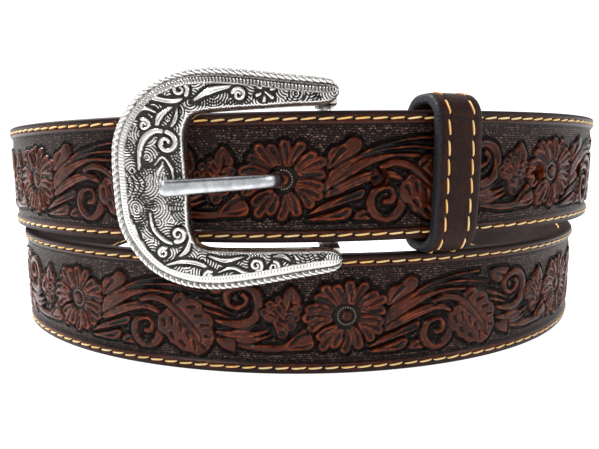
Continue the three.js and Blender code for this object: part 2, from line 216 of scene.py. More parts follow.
# Each raised shape: how far its edge drops, how soon its top fills out, the groove pressed round it,
# and the low lip beyond that. Then the slope of a cut line's walls.
EDGE_DROP = 0.5
DOME_RISE = 0.12
DOME_REACH = 1.2
PRESS_AT, PRESS_REACH = 0.22, 0.36
LIP_RISE, LIP_AT, LIP_REACH = 0.13, 1.0, 0.24
CUT_SLOPE = 0.16


# Relief drawing: heights and masks on a fine grid, sampled later by the mesh's points


class Canvas:
    """A grid of relief heights in millimetres. A later shape lies over the earlier ones."""

    def __init__(self, x_range, y_range, cell, period=None, ground=0.0):
        self.x0, self.x1 = x_range
        self.y0, self.y1 = y_range
        self.cell = cell
        self.period = period
        self.x = np.arange(self.x0, self.x1, cell)
        self.y = np.arange(self.y0, self.y1, cell)
        self.height = np.full((len(self.y), len(self.x)), float(ground))
        self.motif = np.zeros_like(self.height)

    def windows(self, low, high):
        """The parts of the grid that a box covers, with the box's shift by whole repeats."""
        shifts = (0.0,) if self.period is None else (-self.period, 0.0, self.period)
        for shift in shifts:
            i0, i1 = np.searchsorted(self.x, (low[0] + shift, high[0] + shift))
            j0, j1 = np.searchsorted(self.y, (low[1], high[1]))
            if i1 > i0 and j1 > j0:
                x, y = np.meshgrid(self.x[i0:i1] - shift, self.y[j0:j1])
                yield (slice(j0, j1), slice(i0, i1)), x, y

    def raise_shape(self, where, distance, top, bevel, press):
        """Raises the inside of a shape and presses the ground down round it."""
        height = self.height[where]
        depth = np.maximum(-distance, 0)
        body = top - EDGE_DROP * np.exp(-depth / bevel) + DOME_RISE * (1 - np.exp(-depth / DOME_REACH))
        lip = LIP_RISE * bell(distance - LIP_AT, LIP_REACH) * smoothstep(-0.5, -0.65, height)
        pressed = height - press * bell(distance - PRESS_AT, PRESS_REACH) + lip
        self.height[where] = np.where(distance < 0, body, pressed)
        self.motif[where] = np.maximum(self.motif[where], smoothstep(1.0, 0.5, distance))

    def groove(self, where, distance, depth, width):
        self.height[where] -= depth * smoothstep(width, -width, distance)

    def sample(self, values, x, y):
        if self.period is not None:
            x = self.x0 + np.mod(x - self.x0, self.period)
        column = np.clip((x - self.x0) / self.cell, 0, values.shape[1] - 1.001)
        row = np.clip((y - self.y0) / self.cell, 0, values.shape[0] - 1.001)
        i, j = column.astype(int), row.astype(int)
        a, b = column - i, row - j
        low = values[j, i] * (1 - a) + values[j, i + 1] * a
        high = values[j + 1, i] * (1 - a) + values[j + 1, i + 1] * a
        return low * (1 - b) + high * b


def smooth_line(points, closed=False, steps=8):
    """A rounded line through a few points."""
    p = np.asarray(points, float)
    if closed:
        p = np.vstack([p[-1:], p, p[:2]])
    else:
        p = np.vstack([2 * p[:1] - p[1:2], p, 2 * p[-1:] - p[-2:-1]])
    t = np.linspace(0, 1, steps, endpoint=False)[:, None]
    parts = []
    for a, b, c, d in zip(p, p[1:], p[2:], p[3:]):
        half = 0.5 * ((2 * b) + (c - a) * t + (2 * a - 5 * b + 4 * c - d) * t ** 2)
        parts.append(half + 0.5 * (3 * b - a - 3 * c + d) * t ** 3)
    if not closed:
        parts.append(p[-2:-1])
    return np.vstack(parts)


def stroke_distance(x, y, line, widths):
    """Distance to a line whose half width changes along it, and the share run to the nearest point."""
    widths = np.interp(np.linspace(0, 1, len(line)), np.linspace(0, 1, len(widths)), widths)
    best = np.full(x.shape, 1e9)
    share = np.zeros(x.shape)
    count = len(line) - 1
    for k in range(count):
        a, b = line[k], line[k + 1]
        along = b - a
        size = max(along @ along, 1e-12)
        t = np.clip(((x - a[0]) * along[0] + (y - a[1]) * along[1]) / size, 0, 1)
        gap = np.hypot(x - a[0] - t * along[0], y - a[1] - t * along[1])
        gap = gap - (widths[k] * (1 - t) + widths[k + 1] * t)
        nearer = gap < best
        best = np.where(nearer, gap, best)
        share = np.where(nearer, (k + t) / count, share)
    return best, share


def polygon_distance(x, y, outline):
    """Distance to a closed outline, negative inside."""
    ring = np.vstack([outline, outline[:1]])
    distance, _ = stroke_distance(x, y, ring, [0.0])
    inside = np.zeros(x.shape, bool)
    for (ax, ay), (bx, by) in zip(ring, ring[1:]):
        if ay != by:
            inside ^= ((ay > y) != (by > y)) & (x < (bx - ax) * (y - ay) / (by - ay) + ax)
    return np.where(inside, -distance, distance)


class Tooling:
    """Tooled leather motifs on a canvas."""

    def __init__(self, canvas, margin=2.2):
        self.canvas = canvas
        self.margin = margin

    def window(self, points, reach=0.0):
        low = np.min(points, axis=0) - self.margin - reach
        high = np.max(points, axis=0) + self.margin + reach
        return self.canvas.windows(low, high)

    def leaf(self, points, top=-0.02, bevel=0.3, press=0.5, sharp=False):
        outline = np.asarray(points, float) if sharp else smooth_line(points, closed=True)
        for where, x, y in self.window(outline):
            self.canvas.raise_shape(where, polygon_distance(x, y, outline), top, bevel, press)

    def stem(self, points, widths, top=-0.02, bevel=0.28, press=0.5):
        line = smooth_line(points)
        for where, x, y in self.window(line, max(widths)):
            self.canvas.raise_shape(where, stroke_distance(x, y, line, widths)[0], top, bevel, press)

    def union(self, strokes, outlines=(), top=-0.02, bevel=0.28, press=0.5):
        """One shape made of several strokes and outlines, with no lines between them."""
        reach = max(max(widths) for _, widths in strokes)
        lines = [smooth_line(points) for points, _ in strokes]
        for where, x, y in self.window(np.vstack([*lines, *outlines]), reach):
            distance = np.full(x.shape, 1e9)
            for line, (_, widths) in zip(lines, strokes):
                distance = np.minimum(distance, stroke_distance(x, y, line, widths)[0])
            for outline in outlines:
                distance = np.minimum(distance, polygon_distance(x, y, outline))
            self.canvas.raise_shape(where, distance, top, bevel, press)

    def cut(self, points, widths, depth=0.5):
        line = smooth_line(points)
        for where, x, y in self.window(line, max(widths)):
            self.canvas.groove(where, stroke_distance(x, y, line, widths)[0], depth, CUT_SLOPE)

    def rib(self, points, rise=0.3, half=0.14):
        """A thin ridge along a line."""
        line = smooth_line(points)
        for where, x, y in self.window(line):
            away = stroke_distance(x, y, line, [0.0])[0]
            self.canvas.height[where] += rise * bell(away, half)

    def dot(self, point, radius, depth=0.5):
        self.cut([point, (point[0] + 0.01, point[1])], [radius], depth)

    def bead(self, point, radius, top, press=0.3):
        self.stem([point, (point[0] + 0.01, point[1])], [radius], top, 0.2, press)


# Height of the matted background
FIELD = -0.72

# Each petal is a group of lobes, and each lobe three points from its root to its tip
PETALS = [
    [((-3.1, 3.0), (-5.4, 4.6), (-7.3, 5.1)), ((-2.6, 3.6), (-4.2, 5.7), (-5.5, 7.4)),
     ((-0.9, 4.0), (-1.3, 5.8), (-2.5, 7.4))],
    [((1.2, 4.1), (1.1, 6.2), (0.7, 8.3)), ((2.1, 4.1), (3.2, 6.0), (4.5, 7.8))],
    [((4.0, 3.2), (5.6, 4.6), (7.1, 5.5)), ((5.1, 2.4), (7.2, 3.4), (9.3, 4.2)),
     ((4.7, 1.5), (6.9, 1.1), (9.1, 1.1))],
    [((3.9, -0.8), (6.4, -1.0), (8.6, -1.8)), ((4.2, -2.4), (6.4, -3.0), (8.4, -4.0)),
     ((4.1, -3.2), (5.3, -4.4), (6.3, -5.9))],
    [((1.8, -3.7), (2.8, -5.6), (3.2, -7.8)), ((0.5, -4.2), (0.4, -6.6), (-0.4, -8.8))],
    [((-1.7, -4.1), (-2.2, -5.8), (-3.1, -7.4)), ((-3.5, -4.5), (-4.7, -6.2), (-6.1, -8.0)),
     ((-3.6, -3.2), (-5.4, -4.0), (-6.7, -5.2))],
    [((-5.0, -1.0), (-7.0, -1.5), (-8.9, -2.8)), ((-5.4, 0.2), (-7.8, 0.3), (-10.2, -0.3)),
     ((-4.6, 1.9), (-7.2, 2.6), (-9.5, 2.1))],
]
LOBE_WIDTHS = [0.9, 1.38, 1.52]
LOBE_CUT = [0.12, 0.42, 0.5]
LOBE_RIB_SHIFT = np.array([0.06, -0.14])
# The flower's middle: a wavy cup, and the button in it
CUP_RADIUS, CUP_WAVE, CUP_HEIGHT = 3.5, 0.3, -0.7
BUTTON_RADIUS, BUTTON_HEIGHT, BUTTON_DOME = 1.5, -0.2, 0.14
BEAD_RING = 2.35
BEAD_COUNT = 22


def paint_flower(tool):
    canvas = tool.canvas
    for petal in (np.array(lobes) for lobes in PETALS):
        strokes = [([lobe[0] * 0.86, lobe[1], lobe[2]], LOBE_WIDTHS) for lobe in petal]
        tool.union(strokes, [np.vstack([petal[:, 2] * 0.97, petal[::-1, 0]])])
        for root, middle, tip in petal:
            tool.cut([root * 0.96, middle, tip], LOBE_CUT, 0.66)
            tool.rib(np.array([root * 1.1, middle, tip]) + LOBE_RIB_SHIFT, 0.36, 0.13)
    for where, x, y in canvas.windows((-5.5, -5.5), (5.5, 5.5)):
        radius = np.hypot(x, y)
        reach = CUP_RADIUS + CUP_WAVE * np.sin(3 * np.arctan2(y, x) + 0.6)
        cup = smoothstep(reach + 0.3, reach - 0.35, radius)
        button = smoothstep(BUTTON_RADIUS + 0.05, BUTTON_RADIUS - 0.25, radius)
        height = canvas.height[where]
        height[:] = height * (1 - cup) + (CUP_HEIGHT - 0.15 * smoothstep(3.6, 3.0, radius)) * cup
        dome = BUTTON_HEIGHT + BUTTON_DOME * (1 - (radius / BUTTON_RADIUS) ** 2)
        height[:] = height * (1 - button) + dome * button
        canvas.motif[where] = np.maximum(canvas.motif[where], smoothstep(5.2, 4.8, radius))


# Fine lines that follow the forked stems
STEM_LINES = [
    [(21.5, 7.0), (26.5, 8.6), (32.0, 9.5), (37.0, 10.0)], [(11.6, -0.8), (14.6, 2.0), (18.8, 4.2)],
    [(22.0, 6.0), (27.5, 7.4), (33.5, 7.9), (40.0, 6.9)], [(20.0, 3.6), (25.0, 5.0), (31.0, 5.4)],
    [(12.6, -3.6), (17.8, -1.2), (22.8, 0.3), (27.2, 0.0)], [(13.4, -2.4), (18.6, 0.1), (22.4, 1.3)],
    [(39.0, 4.2), (45.0, 2.5), (49.0, 1.0)],
]


def paint_stems(tool):
    # Forked stems, then the dark wedges that part them
    tool.union([
        ([(10.2, -2.4), (12.3, 0.7), (14.4, 2.9), (18.3, 5.0), (24.4, 7.6), (31.0, 9.2), (38.3, 9.9)],
         [1.4, 1.5, 1.0, 0.6, 0.5]),
        ([(12.0, -0.4), (16.0, 2.6), (20.5, 5.2), (26.5, 7.0), (33.0, 7.6), (42.5, 6.2)],
         [1.4, 1.3, 0.8, 0.6, 0.45, 0.25]),
        ([(12.5, -1.2), (17.0, 2.0), (22.0, 4.4), (28.0, 5.4), (34.2, 5.3)], [1.2, 1.25, 0.85, 0.6, 0.5]),
    ])
    tool.cut([(19.2, 5.6), (24.5, 7.5), (30.0, 8.5), (37.6, 9.2)], [0.1, 0.42, 0.5, 0.34], 0.62)
    tool.cut([(16.6, 3.6), (21.5, 5.6), (27.0, 6.5), (34.0, 6.6)], [0.1, 0.42, 0.48, 0.4], 0.62)
    tool.stem([(36.8, 4.6), (44.8, 2.6), (50.6, 0.3)], [0.8, 0.85, 0.2])
    tool.stem([(42.0, 1.4), (46.5, 0.5), (50.9, -1.3)], [0.7, 0.6, 0.2])
    tool.stem([(10.0, -4.3), (12.5, -3.2), (18.0, -0.6), (23.0, 0.9), (27.0, 0.7), (30.4, -1.0)],
              [0.6, 1.0, 1.35, 1.2, 0.9, 0.4])
    tool.cut([(20.0, 0.6), (24.0, 1.4), (28.2, 0.6)], [0.1, 0.2, 0.1], 0.4)
    tool.cut([(46.0, 1.3), (48.6, 0.6)], [0.3, 0.12], 0.45)
    for points in STEM_LINES:
        tool.cut(points, [0.04, 0.13, 0.13, 0.04], 0.3)


# Small leaves: outline, the vein's line, its half widths and its depth
LEAVES = [
    ([(10.8, 2.3), (10.4, 5.0), (11.8, 7.4), (14.6, 8.4), (16.9, 10.1), (19.2, 9.1), (18.9, 6.7),
      (15.2, 4.6)], [(14.9, 7.2), (13.2, 5.6), (11.4, 3.2)], [0.62, 0.52, 0.1], 0.62),
    ([(5.6, -8.8), (9.8, -5.9), (14.6, -4.2), (19.4, -2.5), (20.2, -3.2), (19.2, -4.8), (14.5, -6.3),
      (9.5, -7.9)], [(18.9, -3.7), (15.6, -4.9), (11.8, -6.4)], [0.6, 0.5, 0.1], 0.6),
    ([(5.4, -10.0), (11.0, -8.3), (15.6, -6.9), (17.0, -7.6), (15.6, -9.9), (10.0, -10.4)],
     [(15.5, -7.9), (14.2, -8.8), (10.4, -9.5)], [0.45, 0.55, 0.1], 0.55),
    ([(17.2, -10.2), (17.9, -8.2), (20.0, -7.5), (21.4, -8.4), (23.0, -10.1)],
     [(18.8, -9.4), (20.2, -8.8), (21.4, -9.5)], [0.3, 0.42, 0.25], 0.55),
    ([(43.0, 9.9), (49.6, 9.9), (49.2, 7.6), (47.4, 6.0), (44.6, 6.0)],
     [(45.0, 8.5), (47.6, 7.6)], [0.4, 0.6], 0.55),
]


def paint_leaves(tool):
    for outline, vein, widths, depth in LEAVES:
        tool.leaf(outline)
        tool.cut(vein, widths, depth)
    bud = [(-16.4, -7.6), (-13.2, -4.8), (-10.9, -2.8), (-9.6, -3.9), (-8.8, -5.6), (-8.3, -7.2),
           (-9.2, -8.8), (-12.0, -9.2), (-15.8, -9.2)]
    stalk = [(-28.3, -7.7), (-25.6, -8.1), (-22.0, -8.6), (-18.6, -8.7), (-15.0, -8.4)]
    tool.union([(stalk, [0.75, 0.95, 1.0, 0.95, 0.9])], [smooth_line(bud, closed=True)])
    tool.cut([(-10.0, -4.4), (-12.4, -5.4), (-13.9, -6.8), (-15.2, -8.0)], [0.3, 0.5, 0.45, 0.1], 0.6)
    tool.cut([(-9.1, -7.2), (-11.3, -8.1), (-14.6, -8.2)], [0.12, 0.35, 0.1], 0.55)


LEAF_OUTLINE = [
    (29.0, -2.8), (29.2, -1.4), (30.4, -0.4), (31.6, 1.0), (33.0, 2.0), (33.6, 3.8), (35.2, 5.4), (37.2, 5.6),
    (38.4, 4.2), (40.2, 4.0), (42.0, 2.8), (42.6, 0.9), (44.2, 0.0), (45.2, -1.9), (44.9, -4.0), (45.4, -6.2),
    (44.4, -8.6), (42.8, -10.6), (40.4, -11.6), (38.2, -10.9), (36.2, -10.8), (34.4, -9.4), (32.6, -8.6),
    (31.8, -7.0), (30.2, -6.2), (29.0, -4.6),
]
# Eyes in the leaf: from one end to the other, and half width
LEAF_EYES = [
    (30.9, -2.2, 31.5, -4.0, 0.62), (33.2, -1.5, 33.7, -3.6, 0.5), (35.7, -3.0, 36.2, -5.2, 0.5),
    (33.0, -5.9, 33.9, -7.2, 0.62), (37.7, -4.9, 38.2, -7.2, 0.45), (35.9, -8.0, 37.2, -9.2, 0.62),
    (39.6, -7.5, 39.9, -9.9, 0.5), (35.0, 3.0, 36.4, 4.1, 0.6), (38.2, 1.7, 40.4, 2.2, 0.55),
    (40.2, -0.6, 42.2, -0.3, 0.5), (42.0, -3.0, 43.9, -2.9, 0.5), (42.9, -6.0, 44.2, -6.4, 0.5),
    (41.9, -8.6, 42.9, -9.4, 0.45),
]


def paint_scrolls(tool):
    tool.union([([(50.6, -4.6), (53.5, -3.6), (57.6, -1.9)], [0.9, 1.0, 0.2]),
                ([(46.0, -4.6), (50.5, -5.4), (55.0, -5.2), (59.9, -3.6)], [0.6, 1.3, 1.2, 0.25]),
                ([(50.0, -6.2), (55.0, -6.6), (60.3, -5.0)], [0.8, 0.9, 0.25])])
    tool.cut([(55.4, -4.0), (58.6, -3.6)], [0.32, 0.1], 0.5)
    tool.cut([(54.6, -5.9), (58.2, -5.1)], [0.1, 0.3], 0.5)
    tool.leaf([(44.4, -5.6), (47.6, -6.1), (50.9, -6.4), (51.0, -8.3), (50.9, -10.3), (47.2, -8.9)],
              sharp=True)
    # The large scroll: its band runs round from the tail to the inner eye
    tool.union([
        ([(45.2, -1.3), (49.0, -2.2), (53.1, -2.1), (56.2, -0.2), (57.2, 3.2), (56.2, 6.6), (53.2, 8.1),
          (50.2, 7.4)], [0.35, 0.9, 1.25, 1.35, 1.3, 1.2, 1.1, 1.0]),
        ([(50.6, 7.6), (48.7, 5.9), (49.0, 3.4), (51.2, 2.2), (53.4, 3.0)], [1.0, 0.85, 0.8, 0.7, 0.6]),
        ([(53.4, 3.0), (54.2, 4.6), (53.2, 5.8)], [0.6, 0.7, 0.75]),
    ])
    tool.cut([(49.6, -2.0), (53.0, -1.5), (55.2, 0.6), (56.0, 3.3), (54.9, 6.0), (52.4, 7.0)],
             [0.05, 0.14, 0.05], 0.3)
    tool.cut([(48.4, -5.0), (52.0, -5.0), (55.6, -4.7)], [0.05, 0.14, 0.05], 0.3)
    # The small scroll below the stems
    tool.union([
        ([(28.6, -2.6), (29.3, -4.4), (29.4, -7.0), (27.6, -9.4), (24.8, -10.0), (22.4, -8.6), (21.4, -6.0),
          (22.4, -3.4), (24.6, -2.4)], [0.5, 0.9, 1.3, 1.15, 1.1, 1.2, 1.15, 0.95, 0.6]),
        ([(24.4, -2.4), (26.4, -2.5), (27.4, -3.9), (26.9, -5.6), (25.2, -6.0)],
         [0.55, 0.55, 0.65, 0.85, 0.75]),
    ])
    tool.cut([(23.4, -8.9), (25.2, -9.4), (27.2, -9.0)], [0.12, 0.34, 0.1], 0.5)
    tool.cut([(22.0, -6.0), (22.9, -8.0), (25.0, -9.2)], [0.04, 0.13, 0.04], 0.3)
    tool.leaf(LEAF_OUTLINE)
    for ax, ay, bx, by, half in LEAF_EYES:
        tool.cut([(ax, ay), (bx, by)], [half, half * 0.45], 0.6)
    tool.stem([(24.2, 2.7), (27.4, 3.6), (31.0, 3.0), (34.4, 0.9), (38.0, -2.6), (40.6, -5.6), (41.2, -7.4)],
              [0.75, 0.95, 0.95, 0.9, 0.75, 0.6, 0.4])


TREFOIL = [
    (-14.6, 8.4), (-13.0, 7.0), (-11.9, 5.0), (-11.9, 3.4), (-11.1, 2.3), (-11.7, 0.9), (-11.7, -0.5),
    (-12.7, -1.4), (-12.8, -2.8), (-13.8, -3.8), (-14.8, -4.2), (-15.2, -5.4), (-16.3, -6.1), (-17.7, -5.6),
    (-18.6, -4.0), (-18.9, -2.3), (-19.6, -1.6), (-20.9, -1.4), (-22.3, 0.2), (-22.4, 1.8), (-21.2, 2.4),
    (-21.0, 3.8), (-19.8, 4.5), (-18.8, 4.3), (-18.6, 5.6), (-17.4, 5.9), (-16.7, 5.2), (-16.3, 6.6),
]
# Eyes round the trefoil's rim, with their radius, and the short veins inside it
TREFOIL_EYES = [
    (-17.8, 5.0, 0.42), (-19.8, 3.4, 0.62), (-21.3, 1.3, 0.66), (-12.2, 2.2, 0.6), (-13.1, -0.2, 0.62),
    (-14.4, -2.4, 0.9), (-16.7, -4.5, 0.95),
]
TREFOIL_VEINS = [
    [(-16.9, 3.9), (-15.8, 2.3)], [(-17.9, 2.8), (-16.8, 1.3)], [(-18.9, 1.6), (-17.5, 0.3)],
    [(-19.7, 0.7), (-18.2, 0.0)], [(-14.4, 3.2), (-12.7, 3.6)], [(-15.2, 1.4), (-13.4, 1.6)],
    [(-17.4, -0.9), (-14.7, -1.0)], [(-18.1, -1.6), (-16.3, -2.7)], [(-15.6, 0.2), (-14.3, 0.5)],
]


def paint_trefoil(tool):
    tool.leaf(TREFOIL)
    tool.cut([(-14.3, 6.1), (-14.25, 4.6), (-14.7, 2.8), (-15.4, 1.4)], [0.16, 0.34, 0.28, 0.1], 0.6)
    for x, y, radius in TREFOIL_EYES:
        tool.bead((x, y), radius + 0.4, 0.08, 0.16)
        tool.dot((x, y), radius, 0.66)
    tool.bead((-16.6, -4.9), 0.4, -0.2, 0.0)
    for points in TREFOIL_VEINS:
        tool.cut(points, [0.34, 0.28, 0.1], 0.6)
    tool.dot((-17.3, -0.3), 0.4, 0.6)


def paint_tooling():
    canvas = Canvas((-22, 58), (-13.2, 13.8), 0.1, TILE, FIELD)
    tool = Tooling(canvas)
    paint_stems(tool)
    paint_leaves(tool)
    paint_scrolls(tool)
    paint_trefoil(tool)
    paint_flower(tool)
    return canvas


CANVAS = paint_tooling()


# Materials


def new_material(name):
    """A material, a helper that adds its nodes, and its shader."""
    material = bpy.data.materials.new(name)
    material.use_nodes = True
    tree = material.node_tree
    tree.nodes.clear()
    output = tree.nodes.new("ShaderNodeOutputMaterial")
    shader = tree.nodes.new("ShaderNodeBsdfPrincipled")
    tree.links.new(shader.outputs[0], output.inputs[0])
    return material, Nodes(tree), shader


class Nodes:
    """Adds a material's nodes. Every input may be a value or another node's output."""

    def __init__(self, tree):
        self.tree = tree

    def add(self, kind, inputs=None, **settings):
        node = self.tree.nodes.new(kind)
        for key, value in settings.items():
            setattr(node, key, value)
        for key, value in (inputs or {}).items():
            self.put(node.inputs[key], value)
        return node

    def put(self, socket, value):
        if isinstance(value, bpy.types.NodeSocket):
            self.tree.links.new(value, socket)
        else:
            socket.default_value = value

    def attribute(self, name, vector=False):
        node = self.add("ShaderNodeAttribute", attribute_name=name)
        return node.outputs["Vector" if vector else "Fac"]

    def math(self, operation, a, b=0.0, c=0.0, clamp=False):
        node = self.add("ShaderNodeMath", {0: a, 1: b, 2: c}, operation=operation, use_clamp=clamp)
        return node.outputs[0]

    def ramp(self, value, low, high, to_low=0.0, to_high=1.0):
        inputs = {"Value": value, "From Min": low, "From Max": high, "To Min": to_low, "To Max": to_high}
        return self.add("ShaderNodeMapRange", inputs, interpolation_type="SMOOTHSTEP").outputs[0]

    def mix(self, share, a, b):
        node = self.add("ShaderNodeMix", data_type="RGBA")
        self.put(node.inputs[0], share)
        self.put(node.inputs[6], a)
        self.put(node.inputs[7], b)
        return node.outputs[2]

    def scaled(self, vector, scale):
        node = self.add("ShaderNodeVectorMath", {0: vector}, operation="MULTIPLY")
        node.inputs[1].default_value = scale
        return node.outputs[0]

    def noise(self, vector, scale, detail=3.0, rough=0.55):
        inputs = {"Vector": vector, "Scale": scale, "Detail": detail, "Roughness": rough}
        return self.add("ShaderNodeTexNoise", inputs).outputs["Fac"]

    def cells(self, vector, scale):
        return self.add("ShaderNodeTexVoronoi", {"Vector": vector, "Scale": scale}).outputs["Distance"]

    def bump(self, height, distance, strength=1.0, normal=None):
        inputs = {"Height": height, "Distance": distance, "Strength": strength}
        node = self.add("ShaderNodeBump", inputs)
        if normal is not None:
            self.put(node.inputs["Normal"], normal)
        return node.outputs[0]


def rgb(red, green, blue):
    """A colour given in 0 to 255 screen values, as linear light."""
    linear = []
    for value in (red, green, blue):
        share = value / 255
        linear.append(share / 12.92 if share <= 0.04045 else ((share + 0.055) / 1.055) ** 2.4)
    return (*linear, 1.0)


def tooled_leather():
    material, n, shader = new_material("tooled_leather")
    place = n.attribute("place", vector=True)
    raised = n.attribute("raised")
    matted = n.attribute("matted")
    edge = n.attribute("edge")
    lining = n.attribute("lining")
    # This attribute marks the relief's rubbed rims; on the beads it is 3 and paints a glint
    rub_and_glint = n.attribute("rub_and_glint")
    cloud = n.noise(place, 0.16, 4, 0.6)
    fine = n.noise(place, 1.7, 3, 0.6)
    pores = n.cells(place, 2.6)
    # Background: short dashes that stand up between beaten rows, like bricks, some painted bright as glints:
    # a painted highlight on the dash tops
    swirl = n.add("ShaderNodeTexNoise", {"Vector": place, "Scale": 0.5, "Detail": 2.0}).outputs["Color"]
    loose = n.add("ShaderNodeVectorMath", {0: place, 1: n.scaled(swirl, (1.1, 0.7, 0.0))}, operation="ADD")
    dashes = n.add("ShaderNodeTexBrick", {"Vector": loose.outputs[0], "Scale": 1.0, "Mortar Size": 0.15,
                                          "Mortar Smooth": 0.8, "Brick Width": 0.98, "Row Height": 0.62})
    dashes.offset = 0.5
    dash = n.math("SUBTRACT", 1.0, dashes.outputs["Fac"])
    painted_glint = n.math("MULTIPLY", n.ramp(dash, 0.35, 0.95), n.ramp(n.noise(place, 1.3, 2, 0.6), 0.48, 0.7))
    brown = n.mix(n.ramp(cloud, 0.32, 0.68), rgb(33, 11, 6), rgb(74, 27, 10))
    brown = n.mix(n.math("MULTIPLY", n.ramp(fine, 0.48, 0.72), 0.6), brown, rgb(20, 8, 5))
    rubbed = n.math("MULTIPLY", rub_and_glint, n.ramp(n.noise(place, 0.45, 3, 0.6), 0.4, 0.66, 0.06, 0.72))
    brown = n.mix(rubbed, brown, rgb(150, 68, 32))
    # Only the beads reach values above 1.4: they are painted pale, a painted glint on each bead
    brown = n.mix(n.ramp(rub_and_glint, 1.4, 2.4), brown, rgb(206, 172, 150))
    ground = n.mix(n.ramp(dash, 0.25, 0.9), rgb(3, 2, 2), rgb(40, 22, 18))
    ground = n.mix(painted_glint, ground, rgb(126, 96, 84))
    dark = n.mix(matted, rgb(3, 2, 2), ground)
    colour = n.mix(raised, dark, brown)
    colour = n.mix(n.math("MULTIPLY", n.ramp(pores, 0.16, 0.05), 0.22), colour, rgb(16, 8, 6))
    side = n.mix(n.ramp(fine, 0.35, 0.7), rgb(20, 8, 5), rgb(42, 16, 10))
    colour = n.mix(edge, colour, side)
    suede = n.mix(n.ramp(n.noise(place, 0.6, 5, 0.7), 0.3, 0.7), rgb(30, 23, 21), rgb(46, 35, 31))
    colour = n.mix(lining, colour, suede)
    n.put(shader.inputs["Base Color"], colour)
    gloss = n.ramp(raised, 0.0, 1.0, 0.36, 0.21)
    gloss = n.math("ADD", gloss, n.math("MULTIPLY", lining, 0.15))
    gloss = n.math("ADD", gloss, n.math("MULTIPLY", edge, 0.22))
    gloss = n.math("ADD", gloss, n.math("MULTIPLY", fine, 0.08))
    n.put(shader.inputs["Roughness"], gloss)
    shader.inputs["Specular IOR Level"].default_value = 0.18
    stipple = n.math("MULTIPLY", dash, n.math("MULTIPLY", matted, n.math("SUBTRACT", 1.0, raised)))
    normal = n.bump(stipple, 0.0006, 1.0)
    grain = n.math("ADD", n.math("MULTIPLY", pores, 0.5), n.math("MULTIPLY", fine, 0.6))
    normal = n.bump(grain, 0.00008, 0.5, normal)
    n.put(shader.inputs["Normal"], normal)
    return material


def keeper_leather():
    material, n, shader = new_material("keeper_leather")
    place = n.attribute("place", vector=True)
    edge = n.attribute("edge")
    lining = n.attribute("lining")
    cloud = n.noise(place, 0.35, 4, 0.6)
    fine = n.noise(place, 2.6, 3, 0.65)
    specks = n.cells(place, 1.9)
    brown = n.mix(n.ramp(cloud, 0.3, 0.7), rgb(22, 8, 5), rgb(44, 17, 10))
    brown = n.mix(n.math("MULTIPLY", n.ramp(specks, 0.13, 0.06), 0.55), brown, rgb(84, 60, 52))
    cut = n.mix(n.ramp(fine, 0.3, 0.7), rgb(16, 15, 17), rgb(46, 45, 50))
    colour = n.mix(edge, brown, cut)
    colour = n.mix(lining, colour, rgb(74, 48, 36))
    n.put(shader.inputs["Base Color"], colour)
    n.put(shader.inputs["Roughness"], n.ramp(fine, 0.3, 0.7, 0.4, 0.54))
    shader.inputs["Specular IOR Level"].default_value = 0.15
    grain = n.math("ADD", n.cells(place, 1.6), n.math("MULTIPLY", fine, 0.7))
    n.put(shader.inputs["Normal"], n.bump(grain, 0.00014, 0.7))
    return material


def thread():
    material, n, shader = new_material("thread")
    place = n.attribute("place", vector=True)
    across = n.attribute("across")
    seed = n.attribute("seed")
    # Each stitch is pale along its top and darker orange down its sides and underside: painted light and
    # shade across the thread
    pale = n.mix(seed, rgb(255, 216, 120), rgb(255, 240, 178))
    painted_side_shade = n.mix(seed, rgb(190, 92, 18), rgb(220, 128, 36))
    rim = n.ramp(n.math("ABSOLUTE", across), 0.3, 0.82)
    twist = n.add("ShaderNodeTexWave", {"Vector": place, "Scale": 1.15, "Distortion": 0.6},
                  bands_direction="DIAGONAL").outputs["Fac"]
    colour = n.mix(rim, pale, painted_side_shade)
    # The twist's grooves are painted darker: painted shade
    colour = n.mix(n.math("MULTIPLY", n.ramp(twist, 0.35, 0.1), 0.45), colour, rgb(150, 84, 30))
    n.put(shader.inputs["Base Color"], colour)
    shader.inputs["Roughness"].default_value = 0.5
    shader.inputs["Sheen Weight"].default_value = 0.15
    n.put(shader.inputs["Normal"], n.bump(twist, 0.00012, 0.8))
    return material


def antique_silver():
    material, n, shader = new_material("antique_silver")
    place = n.attribute("place", vector=True)
    cut = n.attribute("cut")
    cloud = n.noise(place, 0.3, 4, 0.6)
    fine = n.noise(place, 3.0, 2, 0.5)
    silver = n.mix(n.ramp(cloud, 0.3, 0.7), rgb(226, 223, 219), rgb(246, 244, 241))
    tarnish = n.mix(fine, rgb(5, 4, 4), rgb(30, 26, 23))
    share = n.math("ADD", cut, n.math("MULTIPLY", n.ramp(cloud, 0.55, 0.8), 0.08), clamp=True)
    n.put(shader.inputs["Base Color"], n.mix(share, silver, tarnish))
    shader.inputs["Metallic"].default_value = 1.0
    rough = n.math("ADD", n.math("MULTIPLY", share, 0.3), n.math("MULTIPLY", cloud, 0.12))
    n.put(shader.inputs["Roughness"], n.math("ADD", rough, 0.14))
    n.put(shader.inputs["Normal"], n.bump(fine, 0.00004, 0.4))
    return material


def prong_steel():
    material, n, shader = new_material("prong_steel")
    place = n.attribute("place", vector=True)
    streaks = n.noise(n.scaled(place, (0.25, 3.0, 3.0)), 1.2, 3, 0.6)
    cloud = n.noise(place, 0.5, 2, 0.5)
    n.put(shader.inputs["Base Color"], n.mix(n.ramp(cloud, 0.3, 0.7), rgb(176, 179, 184), rgb(206, 208, 210)))
    shader.inputs["Metallic"].default_value = 1.0
    n.put(shader.inputs["Roughness"], n.ramp(streaks, 0.3, 0.7, 0.26, 0.34))
    n.put(shader.inputs["Normal"], n.bump(streaks, 0.000004, 0.3))
    return material


LEATHER = tooled_leather()
KEEPER_LEATHER = keeper_leather()
THREAD = thread()
SILVER = antique_silver()
STEEL = prong_steel()


# Meshes


